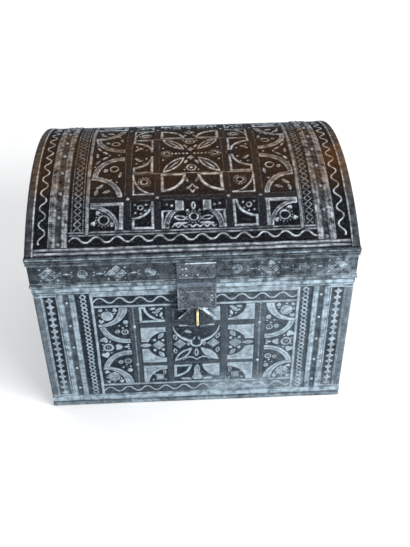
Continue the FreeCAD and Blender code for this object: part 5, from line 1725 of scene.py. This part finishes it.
    def middle(self, pen: Pen) -> None:
        """Draw the half flower, the two bowls with a star between them, and the flower at the crown."""
        layout = self.layout
        middle, half = gap_between(layout.bars)
        self.half_flower(pen.at(middle, layout.first_row[0]), half)
        low, high = layout.second_row
        cell = pen.at(middle, low)
        height = high - low
        for side in (1, -1):
            mirrored = cell.at(0, 0, flip_x=side)
            bowl = mirrored.at(half, height).disc(39.5)
            mirrored.stamp(np.maximum(bowl, mirrored.between((0, half), (0, height))), OUTLINE, 4.4, 1.6)
            mirrored.put(Pen.lens, (13, 3.6), (8.5, 31, 65), fill=OUTLINE, line=1.3)
        cell.put(Pen.star, (9.5, 5, 7.4), (0, 12), fill=OUTLINE, line=2)
        self.crown_flower(pen.at(middle, self.half_arc), half)

    def half_flower(self, pen: Pen, half: float) -> None:
        """Draw an arch over a beaded disc with leaves and a little wave."""
        height = self.layout.first_row[1] - self.layout.first_row[0]
        room = pen.between((-half, half), (0, height))
        arch = np.maximum(abs(pen.disc(40)) - 2.2, room)
        pen.stamp(np.maximum(arch, 17 - abs(pen.x)), DOUBLE, 1.6)
        for side in (1, -1):
            mirrored = pen.at(0, 0, flip_x=side)
            block = mirrored.between((14.5, 27), (30.5, height))
            mirrored.stamp(block, SOLID, tone=1, height=1.5)
            step = np.maximum(mirrored.between((31, half), (0, 31)), 43.5 - np.hypot(pen.x, pen.z))
            mirrored.stamp(step, OUTLINE, 3.2)
            mirrored.put(Pen.lens, (20, 8.5), (20, 17.5, 8), fill=OUTLINE, line=1.8)
            mirrored.put(Pen.lens, (24, 4.6), (20, 8, -4), tone=0.8)
            mirrored.dots([(9, 31), (32, 40), (40, 42)], 2)
        self.beaded_disc(pen.at(0, 19.5), 7.4)
        pen.put(Pen.lens, (15, 6.6), (0, 39.5, 90), fill=OUTLINE, line=1.8)
        pen.at(-34, 4).wave(68, 10.8, 1.7, 1.5, 5)

    def crown_flower(self, pen: Pen, half: float) -> None:
        """Draw one half of the four-petalled flower over the crown, with its buds and beads."""
        for side in (1, -1):
            mirrored = pen.at(0, 0, flip_x=side)
            petal = mirrored.at(28, -31.5, -48)
            petal.stamp(petal.lens(52, 17), OUTLINE, 2.8, 1.6)
            petal.stamp(petal.lens(34, 3), tone=0.3)
            ring = mirrored.at(39, 0)
            self.beaded_disc(ring, 5.6)
            mirrored.at(6, 0).bead_row(24, 6, 1.8)
            mirrored.put(Pen.lens, (11, 4.4), (8.5, -24, -60), tone=0.9)
            mirrored.dots([(11, -45), (19, -54), (half - 4, -18)], 1.5)
        pen.put(Pen.star, (6, 3, 4.6), (0, -13))
        flower = pen.at(0, -40)
        flower.stamp(flower.serrated(8, 8), OUTLINE, 2)
        flower.stamp(flower.disc(2.4))


@dataclass
class DomedLid:
    """The lid: its embossed covering, its rim bands, its mouldings and its nails."""

    shop: Workshop
    ornament: Ornament
    sheet: float = 1.2
    cell: float = 1.25
    fold: float = 2.2
    turn_down: float = 10.0
    seam_start: float = 13.0
    band_depth: float = 3.2
    end_rise: float = 2.6
    clearance: float = 0.5
    seam: SeamMoulding = field(default_factory=SeamMoulding)

    EDGE_CELL = (0.8, 1.0)
    SEAM_CELL = 1.1
    LUNETTE_CELL = 1.0
    LUNETTE_ROWS = 56
    BAND_CELL = (0.85, 0.8)
    EDGE_WOBBLE = 0.4
    BAND_WOBBLE = 0.35
    PALE = 0.95
    CROWN_SEED = 301
    EDGE_SEED = 320
    SEAM_SEED = 340
    LUNETTE_SEED = 360
    BAND_SEED = 400

    def build(self) -> None:
        """Make every piece of the lid's covering."""
        self.dome = self.covering_dome()
        self.crown()
        self.edges()
        self.seams()
        self.lunettes()
        self.bands()
        self.shop.dress(LID_NAIL_STEEL, "lid_nails")

    def covering_dome(self) -> Dome:
        """Work out the covering's cylinder from its reach, its edge and the crest of a seam moulding."""
        low, high = span("lid_left_seam_moulding")
        reach, edge, crest_top = Side.FRONT.face("lid_crown_sheet"), float(low[2]), float(high[2])
        growth = float(high[1]) / reach - 1
        radius = reach
        for _ in range(20):
            rise = crest_top - radius * growth - edge
            radius = (reach * reach + rise * rise) / (2 * rise)
        return Dome(radius, crest_top - radius * growth - radius, edge)

    def crown(self) -> None:
        """Emboss the sheet over the dome."""
        node = "lid_crown_sheet"
        reach, arc = float(span(node)[1][0]), self.dome.half_arc
        across = steps(-reach, reach, self.cell, self.seam.width / 2 - 1)
        sheet = Relief(*np.meshgrid(across, steps(-arc, arc, self.cell)), self.CROWN_SEED)
        CrownDrawing(CrownLayout(), self.ornament, arc).draw(sheet)
        sheet.dent()
        self.shop.cover(
            "lid_crown_embossed", sheet, self.dome.lay, LID_METAL, "lid", node, thickness=self.sheet
        )

    def edges(self) -> None:
        """Emboss the sheets over the dome's ends, with a running wave and a strip folded over the end."""
        arc = self.dome.half_arc
        for hand, word in ((-1, "left"), (1, "right")):
            node = f"lid_{word}_edge_sheet"
            inner, outer = sorted(abs(corner[0]) for corner in span(node))
            outer -= self.end_rise
            reach = outer - inner
            ends = (-reach, self.turn_down) if hand > 0 else (-self.turn_down, reach)
            grid = np.meshgrid(steps(*ends, self.EDGE_CELL[0]), steps(-arc, arc, self.EDGE_CELL[1]))
            sheet = Relief(*grid, self.EDGE_SEED + hand, self.EDGE_WOBBLE)
            self.draw_edge(sheet, hand)
            self.shop.cover(
                f"lid_{word}_edge_embossed", sheet, self.over_end(hand, outer), LID_METAL, "lid", node,
                thickness=self.sheet, bent=True,
            )

    def over_end(self, hand: int, outer: float) -> Place:
        """Lay a relief on the dome and down over its end.

        Args:
            hand: -1 for the left end or 1 for the right one.
            outer: Distance of the end's face from the middle.

        Returns:
            A function from places on the relief to points in space.
        """

        def place(x: Grid, z: Grid, height: Grid) -> Grid:
            corner = self.dome.lay(np.full_like(x, hand * outer), z, np.zeros_like(x))
            pair = (self.dome.out(z), hand * Side.RIGHT.out)
            return folded(x, height, corner, *pair[::hand], self.fold)

        return place

    def draw_edge(self, sheet: Relief, hand: int) -> None:
        """Draw the folded edge strip, the running wave beside it and the beads along the rim.

        Args:
            sheet: The sheet over one end.
            hand: -1 for the left end or 1 for the right one.
        """
        strayed = sheet.pen()
        pen = Pen(sheet, -hand * strayed.x, self.dome.half_arc - abs(strayed.z))
        pen.raise_to(pen.between((-20, 10.5), (-50, 900)), 2.2, 0.4)
        pen.sink(abs(pen.x - 7.6) - 0.2, 0.4, 1.2)
        pen.ridge(np.where(pen.z > self.seam_start, pen.x - 33.0, 9.0), 1.6, 0.8, 0.8)
        for level in CrownLayout.rim_beads:
            pen.ridge(np.where(pen.x > 10.5, pen.z - level, 9.0), 5.6, 1.5, 0.6)
        pen.at(22.0, 19.0, 90).wave(190.0, 29.8, 4.6, 2.4, 4.0)
        sheet.dent()

    def seams(self) -> None:
        """Lay the double mouldings over the dome's seams."""
        reach, half = self.dome.half_arc - self.seam_start, self.seam.width / 2
        x, z = np.meshgrid(steps(-half, half, self.seam.cell), steps(-reach, reach, self.SEAM_CELL))
        for number, word in enumerate(("left", "right")):
            node = f"lid_{word}_seam_moulding"
            low, high = span(node)
            sheet = self.seam.work(x, z, self.SEAM_SEED + number, self.PALE)
            place = partial(self.dome.lay, shift=float(low[0] + high[0]) / 2)
            self.shop.cover(f"lid_{word}_seam_hammered", sheet, place, LID_MOULDING_METAL, "lid", node)

    def lunettes(self) -> None:
        """Emboss the arched end sheets with a half flower, lozenges and a wave under the arch."""
        for side in (Side.LEFT, Side.RIGHT):
            node = f"lid_{side.word}_lunette_sheet"
            low, high = span(node)
            base, reach = float(low[2]), float(high[1]) - self.clearance
            across = steps(-reach, reach, self.LUNETTE_CELL)
            x, level = np.meshgrid(across, np.linspace(0, 1, self.LUNETTE_ROWS))
            top = self.dome.rise(x) - self.sheet - self.clearance
            z = base + level * np.maximum(top - base, self.clearance)
            sheet = Relief(x, z, self.LUNETTE_SEED + side.value[0])
            pen = sheet.pen()
            arch = pen.at(0, self.dome.middle)
            along = Pen(sheet, np.arctan2(arch.x, arch.z) * self.dome.radius, np.hypot(arch.x, arch.z))
            border = along.at(-150, self.dome.radius - 16.5)
            border.wave(300, 22.0, 3.2, 2.0, 4.0)
            edge = along.at(0, self.dome.radius - 24.0)
            edge.ridge(np.where(abs(edge.x) < 175, edge.z, 9), 1.6)
            for turn in (15, 52, 90, 128, 165):
                way = math.radians(turn)
                place = (17 * math.cos(way), base + 1 + 17 * math.sin(way), turn)
                pen.put(Pen.lens, (24, 8), place, fill=OUTLINE, line=1.8)
            pen.put(Pen.disc, (5.5,), (0, base))
            for hand in (-1, 1):
                for x_at, size in ((52, 11.0), (80, 8.5), (104, 6.0)):
                    self.ornament.scored_lozenge(pen.at(hand * x_at, base + size + 2), size)
            sheet.dent()
            self.shop.cover(
                f"{node}_embossed", sheet, on_side(side, side.face(node)), LID_METAL, "lid", node,
                thickness=self.sheet, bent=True,
            )

    def bands(self) -> None:
        """Lay the mitred rim bands: a rope bead, an engraved band and a stepped cornice."""
        wide = Side.RIGHT.face("lid_right_lunette_sheet")
        deep = Side.FRONT.face("lid_front_rail") + self.sheet
        for number, side in enumerate(Side):
            node = f"lid_{side.word}_band"
            low, high = span(node)
            half, face = (wide, deep) if side in (Side.FRONT, Side.BACK) else (deep, wide)
            across, up = self.BAND_CELL
            grid = np.meshgrid(steps(-half, half, across), steps(low[2], high[2] + 0.1, up))
            sheet = Relief(*grid, self.BAND_SEED + number, self.BAND_WOBBLE)
            self.draw_band(sheet, float(low[2]), float(high[2]), half)
            self.shop.cover(
                f"{node}_engraved", sheet, on_side(side, face, half), RIM_METAL, "lid", node,
                thickness=self.band_depth,
            )

    def draw_band(self, sheet: Relief, low: float, high: float, half: float) -> None:
        """Draw the rim band from its rope bead to its cornice.

        Args:
            sheet: The band.
            low: Its lower edge.
            high: Its upper edge.
            half: Half its length.
        """
        pen = sheet.pen()
        rope, cornice, ridge = low + 8.0, high - 13.5, 4.5
        twist = 0.5 + 0.5 * np.cos(FULL_TURN * (pen.x + 0.7 * (pen.z - low)) / 3.4)
        section, pale = bead(sheet.z, low, rope, 2.4), crest(sheet.z, low, rope, 0.95)
        sheet.shape(section * (0.72 + 0.28 * twist), pale * (0.35 + 0.65 * twist))
        sheet.shape(0.35 * (sheet.z > rope) * np.ones_like(sheet.x), np.zeros_like(sheet.x))
        for step, (height, tone) in enumerate(((2.3, 0.06), (2.8, 0.0), (3.3, 0.08))):
            start = cornice + step * ridge
            ends = (sheet.z, start, start + ridge)
            sheet.shape(bead(*ends, height), crest(*ends, tone))
        middle = (rope + cornice) / 2
        for line, tone in ((rope + 1.2, 0.6), (cornice - 1.4, 0.6), (high - 2.0, 0.5)):
            pen.ridge(pen.z - line, 1.0, 0.8, tone)
        places = np.arange(65.0, half - 12, 50.5)
        for hand, tone in ((-1, 1.1), (1, 0.85)):
            for count, x in enumerate(places):
                mark = pen.at(hand * x, middle)
                if count % 2:
                    self.four_lozenges(mark, tone)
                else:
                    mark.stamp(mark.serrated(8.2, 18), tone=tone * 0.75, height=1.1)
                    mark.sink(abs(mark.disc(5.4)) - 0.3, 0.4, 1.2)
                link = pen.at(hand * (x + 25.2), middle, flip_x=hand)
                if x + 25 < half - 8:
                    link.stamp(link.lens(11.0, 3.6), height=1.0)
                    link.dots([(-8.6, 3.2), (-8.6, -3.2), (-6.6, 0), (8.2, 2.6), (8.2, -2.6)], 1.2)
        below = ease((middle + 6 - sheet.z) / 14)
        sheet.wear(0.26 * sheet.cloud(30.0, sheet.seed) * below)
        # Painted light from the right, with wear: the band's ground is rubbed paler towards the right.
        right = ease((sheet.x + 60) / 260) * (sheet.z < cornice)
        sheet.wear(0.5 * sheet.cloud(44.0, sheet.seed + 1) * right)
        sheet.dent()

    def four_lozenges(self, pen: Pen, tone: float) -> None:
        """Raise four small lozenges in a cross with a dot in each corner, rubbed to a tone."""
        for x, z in ((8.2, 0), (-8.2, 0), (0, 8.2), (0, -8.2)):
            part = pen.at(x, z)
            part.stamp(part.lozenge(7.2, 7.2), DOUBLE, 2.2, 1.1, tone)
            part.stamp(part.disc(1.0), height=1.1)
        pen.dots([(12.6, 10.6), (-12.6, 10.6), (12.6, -10.6), (-12.6, -10.6)], 1.5)


@dataclass
class Hasp:
    """The hasp: a plate on the lid, a hinged leaf that drops over the staple, and the staple."""

    shop: Workshop
    cell: float = 0.5
    sheet: float = 1.2
    thick: float = 2.0
    gap: float = 0.3
    rim: float = 2.4
    waist: float = 13.0
    tongue: float = 38.0
    slot: float = 4.2
    slot_roof: float = 1.5
    lip: float = 4.2
    # Widths of the notch's left and right bevels; the right one is broad to carry a painted highlight.
    bevels: Ends = (1.8, 5.4)
    barrel_gap: float = 2.6

    PLATE_SEED = 501
    LEAF_SEED = 510

    def build(self) -> None:
        """Make the engraved faces of the plate and the leaf, and dress what is under them."""
        self.shop.dress(LEAF_STEEL, "hasp_plate", "hasp_leaf")
        self.shop.dress(PIN_STEEL, "hasp_pin")
        self.shop.dress(SLOT_SHADE_STEEL, "staple_plate")
        self.shop.dress(STAPLE_BRASS, "staple")
        low, high = span("hasp_plate")
        self.middle, self.half = float(low[0] + high[0]) / 2, float(high[0] - low[0]) / 2
        self.plate(float(high[2]))
        self.tip = float(span("hasp_leaf")[0][2])
        self.head = float(span("front_top_moulding")[1][2]) - self.gap
        self.roof = float(span("staple")[1][2]) + self.slot_roof
        for hand, word in ((-1, "left"), (1, "right")):
            self.leaf(hand, word)

    def face(self, name: str, sheet: Relief, out: float, body: str, bent: bool) -> None:
        """Lay an engraved face at a distance from the middle of the chest."""
        place = on_side(Side.FRONT, out, shift=self.middle)
        self.shop.cover(name, sheet, place, HASP_METAL, body, bent=bent)

    def plate(self, top: float) -> None:
        """Engrave the plate's face up to its top edge: arrows and discs over a line."""
        bottom = float(span("hasp_pin")[1][2]) + self.barrel_gap
        grid = np.meshgrid(steps(-self.half, self.half, self.cell), steps(bottom, top, self.cell))
        sheet = Relief(*grid, self.PLATE_SEED, 0.15)
        pen = sheet.pen()
        inside = pen.between((-self.half, self.half), (bottom, top))
        pen.raise_to(inside, 0.3, 0.12)
        pen.ridge(np.where(pen.x > -16, pen.z - top + 1.2, 9.0), 2.0, 0.75, 1.0)
        middle = (top + bottom) / 2
        for hand in (-1, 1):
            for x, turn in ((20.0, 120), (12.0, -60)):
                place = (hand * x, middle + 1, turn)
                pen.put(Pen.lens, (11.0, 3.6), place, fill=OUTLINE, line=0.8, height=0.6, tone=0.35)
            place = (hand * 5.5, middle + 5)
            pen.put(Pen.disc, (5.0,), place, fill=OUTLINE, line=0.8, height=0.6, tone=0.25)
        pen.dots([(-15.5, middle + 6), (-15.5, middle - 7.5)], 1.7)
        pen.dots([(-21.0, middle + 5), (-20.5, middle - 6), (-6.0, middle - 7), (2.0, middle - 7)], 1.1)
        pen.ridge(np.where(abs(pen.x) < self.half - 3, pen.z - bottom - 4.0, 9.0), 0.7, 0.55, 0.5)
        out = Side.FRONT.face("lid_front_rail") + self.sheet + self.thick
        self.face("hasp_plate_engraved", sheet, out, "lid", False)

    def leaf(self, hand: int, word: str) -> None:
        """Engrave one half of the leaf: rims along its edges and a bevel on the notch, broad and pale on the
        right as a painted highlight of light from the right, thin and duller on the left.

        Args:
            hand: -1 for the left half or 1 for the right one.
            word: The half's name.
        """
        tip, head, roof = self.tip + self.lip, self.head, self.roof
        neck, widest = self.tip + self.tongue, self.tip + self.tongue / 2
        breaks = sorted((tip, neck, neck + 0.02, roof, roof + 0.02, head))
        levels = np.concatenate([steps(a, b, self.cell) for a, b in zip(breaks[::2], breaks[1::2])])
        spread = 1 - abs(levels - widest) / (neck - widest)
        outer = np.where(levels <= neck, self.waist + (self.half - self.waist) * spread, self.half)
        inner = np.where(levels <= roof, self.slot, 0.0)
        share = np.linspace(0, 1, int(self.half / self.cell))[None, :]
        x = hand * (inner[:, None] + share * (outer - inner)[:, None])
        z = np.repeat(levels[:, None], share.shape[1], 1)
        if hand < 0:
            x, z = x[:, ::-1], z[:, ::-1]
        sheet = Relief(x, z, self.LEAF_SEED + hand, 0.0)
        pen = Pen(sheet, hand * x, z)
        pen.raise_to(np.full(x.shape, -9.0), 0.15, 0.03)
        pen.raise_to(neck - 2 - z, 0.15, 0.12)
        tine = [(self.slot, tip), (self.waist, tip), (self.half, widest), (self.waist, neck)]
        plain = [(self.waist, neck), (self.half, neck), (self.half, head), (0.0, head)]
        # Painted highlight: the right bevel is broader and paler than the left, as the light falls from the
        # right.
        lit = self.bevels[hand > 0]
        for corners, width, tone, from_neck in (
            (plain, self.rim, 0.25, False), (plain[2:], self.rim, 1.0, False),
            (tine[2:], lit, 0.9 + 0.3 * hand, True),
        ):
            over = z - neck if from_neck else -1.0
            pen.raise_to(np.maximum(self.edge_distance(pen, corners) - width, over), 0.6, tone, 1.1)
        self.engrave(pen, neck, hand)
        out = Side.FRONT.face("lid_front_band") + self.gap + self.thick
        self.face(f"hasp_leaf_{word}_engraved", sheet, out, "hasp", True)

    def edge_distance(self, pen: Pen, corners: Sequence[Ends]) -> Grid:
        """Distance from each point to the nearest stretch of an open outline."""
        nearest = np.full(pen.x.shape, 99.0)
        for (x0, z0), (x1, z1) in zip(corners, corners[1:]):
            run, rise = x1 - x0, z1 - z0
            share = np.clip(((pen.x - x0) * run + (pen.z - z0) * rise) / (run * run + rise * rise), 0, 1)
            nearest = np.minimum(nearest, np.hypot(pen.x - x0 - share * run, pen.z - z0 - share * rise))
        return nearest

    def engrave(self, pen: Pen, neck: float, hand: int) -> None:
        """Engrave half of the leaf: a line, leaves, dots and a curl on its tine, and on the right half a
        painted glint by the neck.

        Args:
            pen: A pen whose first axis points from the middle to the half's own side.
            neck: Height of the notches' upper edge.
            hand: -1 for the left half or 1 for the right one.
        """
        pen.ridge(np.where(pen.x < 26, pen.z - self.head + 12.0, 9.0), 0.9, 0.6, 0.35)
        leaves = ((5.0, self.head - 27.0, 160), (17.0, self.head - 27.0, 8))
        pen.put(Pen.lens, (10.5, 4.2), *leaves, fill=OUTLINE, line=1.0, height=0.6, tone=0.5)
        bright = 1.5 if hand > 0 else 0.9
        pen.dots([(22.5, self.head - 21.0), (24.8, self.head - 25.0), (22.6, self.head - 29.5)], bright)
        curl = (9.0, self.tip + self.tongue / 2, 90)
        pen.put(Pen.lens, (12.0, 4.0), curl, fill=OUTLINE, line=0.9, height=0.6, tone=0.25)
        # Painted highlight: a pale bar stands for a glint of light by the slot's top.
        if hand > 0:
            painted_glint = pen.at(9.0, neck + 0.6)
            painted_glint.raise_to(painted_glint.oblong(8.0, 2.2), 0.7, 1.4)


@dataclass
class Carcass:
    """The wooden box and lid under the metal, and the iron hinges."""

    shop: Workshop
    long_boards: tuple[str, ...] = (
        "front_board", "back_board", "floor_board", "lid_front_rail", "lid_back_rail",
    )
    cross_boards: tuple[str, ...] = ("left_board", "right_board", "lid_left_end", "lid_right_end")

    def build(self) -> None:
        """Dress the boards, the staves and the hinges."""
        staves = (name for name in sorted(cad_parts) if name.startswith("lid_stave"))
        self.shop.dress(LONG_WOOD, *self.long_boards, *staves)
        self.shop.dress(CROSS_WOOD, *self.cross_boards)
        for word in ("left", "right"):
            parts = (f"{word}_hinge_{part}" for part in ("box_leaf", "pin", "lid_leaf"))
            self.shop.dress(HINGE_IRON, *parts)


@dataclass
class Studio:
    """The plain pale floor, the soft light and the camera at the picture's viewpoint.

    Args:
        camera: The camera's place, in millimetres.
        pitch: How far it looks up, in radians.
        yaw: How far it looks to the left, in radians.
        roll: How far it leans, in radians.
        focal: Focal length in picture points.
        picture: The picture's width and height in points.
    """

    camera: tuple[float, float, float] = (-16.5, -1096.66, 1037.3)
    pitch: float = -0.6928
    yaw: float = -0.0369
    roll: float = 0.0115
    focal: float = 780.0
    picture: tuple[int, int] = (410, 547)
    sensor: float = 36.0
    half_floor: float = 4.0

    SKY_LIGHT = 0.52
    # Painted light on the floor: how much it glows for shown rays, by its distance in metres from the chest's
    # middle, brighter away from the chest as if a sweep behind it were lit.
    FLOOR_GLOW = (0.7, 1.7, 0.1, 0.4)
    LAMPS = (
        ("key_softbox", (1.15, -1.35, 1.55), 1.1, 28.0),
        ("right_softbox", (1.5, -0.8, 0.95), 0.8, 24.0),
        ("top_softbox", (-0.5, 0.5, 1.9), 1.5, 16.0),
    )

    def build(self) -> None:
        """Make the floor, the light and the camera."""
        bpy.context.scene.view_settings.view_transform = "Standard"
        self.make_floor()
        self.make_world()
        for lamp in self.LAMPS:
            self.make_lamp(*lamp)
        self.make_camera()

    def make_floor(self) -> None:
        """Lay a wide pale floor that the camera sees as white outside the chest's shadow, with painted light
        that grows away from the chest.
        """
        mesh = bpy.data.meshes.new("floor")
        half = self.half_floor
        corners = [(-half, -half, 0), (half, -half, 0), (half, half, 0), (-half, half, 0)]
        mesh.from_pydata(corners, [], [(0, 1, 2, 3)])
        floor = bpy.data.objects.new("floor", mesh)
        bpy.context.scene.collection.objects.link(floor)
        material, tree = new_tree("pale_floor_paint")
        paint = add(tree, "BsdfDiffuse", {"Color": linear("#E9E9E9")})
        place = add(tree, "TexCoord", out="Object")
        away = add(tree, "VectorMath", (place,), "Value", operation="LENGTH")
        # Painted light: the floor glows more the further it lies from the chest.
        painted_sweep_light = add(tree, "MapRange", (away, *self.FLOOR_GLOW))
        shown = add(tree, "Math", (self.shown_rays(tree), painted_sweep_light), operation="MULTIPLY")
        glow = add(tree, "Emission", {"Color": linear("#FFFFFF"), "Strength": shown})
        add(tree, "OutputMaterial", {"Surface": add(tree, "AddShader", (paint, glow))})
        mesh.materials.append(material)

    def shown_rays(self, tree: bpy.types.NodeTree) -> bpy.types.NodeSocket:
        """Give 1 for rays that show a thing, its mirror image or a view through glass, else 0."""
        camera, glossy, glass = (
            add(tree, "LightPath", out=f"Is {kind} Ray") for kind in ("Camera", "Glossy", "Transmission")
        )
        seen = add(tree, "Math", (camera, glossy), operation="MAXIMUM")
        return add(tree, "Math", (seen, glass), operation="MAXIMUM")

    def make_world(self) -> None:
        """Light everything softly from a pale sky that shows as white."""
        world = bpy.data.worlds.new("studio_sky")
        bpy.context.scene.world = world
        world.use_nodes = True
        tree = world.node_tree
        tree.nodes.clear()
        strength = add(tree, "MapRange", {0: self.shown_rays(tree), 3: self.SKY_LIGHT, 4: 1.0})
        sky = add(tree, "Background", {"Color": linear("#F9FBFD"), "Strength": strength})
        add(tree, "OutputWorld", {"Surface": sky})

    def make_lamp(self, name: str, place: tuple[float, float, float], size: float, power: float) -> None:
        """Hang a square soft lamp that looks at the chest.

        Args:
            name: The lamp's name.
            place: Where it hangs, in metres.
            size: Its side, in metres.
            power: Its power in watts.
        """
        data = bpy.data.lights.new(name, "AREA")
        data.size = size
        data.energy = power
        lamp = bpy.data.objects.new(name, data)
        lamp.location = place
        aim = Vector((0, 0, 0.2)) - lamp.location
        lamp.rotation_euler = aim.to_track_quat("-Z", "Y").to_euler()
        bpy.context.scene.collection.objects.link(lamp)

    def make_camera(self) -> None:
        """Set the camera where the chest's corners say that it stood."""
        data = bpy.data.cameras.new("camera")
        data.sensor_width = self.sensor
        data.lens = self.focal / max(self.picture) * self.sensor
        data.clip_start, data.clip_end = 0.05, 20.0
        camera = bpy.data.objects.new("camera", data)
        turns = ((self.yaw, "Z"), (self.pitch, "X"), (self.roll, "Y"))
        turned = reduce(Matrix.__matmul__, (Matrix.Rotation(turn, 3, axis) for turn, axis in turns))
        right, forward, up = turned.transposed()
        matrix = Matrix((right, up, -forward)).transposed().to_4x4()
        matrix.translation = Vector(self.camera) * MM
        camera.matrix_world = matrix
        bpy.context.scene.collection.objects.link(camera)
        bpy.context.scene.camera = camera


def main() -> None:
    """Build the studio and every sub-assembly in order."""
    logging.basicConfig(level=logging.INFO, format="%(name)s %(message)s")
    Studio().build()
    shop, ornament = Workshop(), Ornament()
    Carcass(shop).build()
    ChestBox(shop, ornament).build()
    DomedLid(shop, ornament).build()
    Hasp(shop).build()


if __name__ == "__main__":
    main()
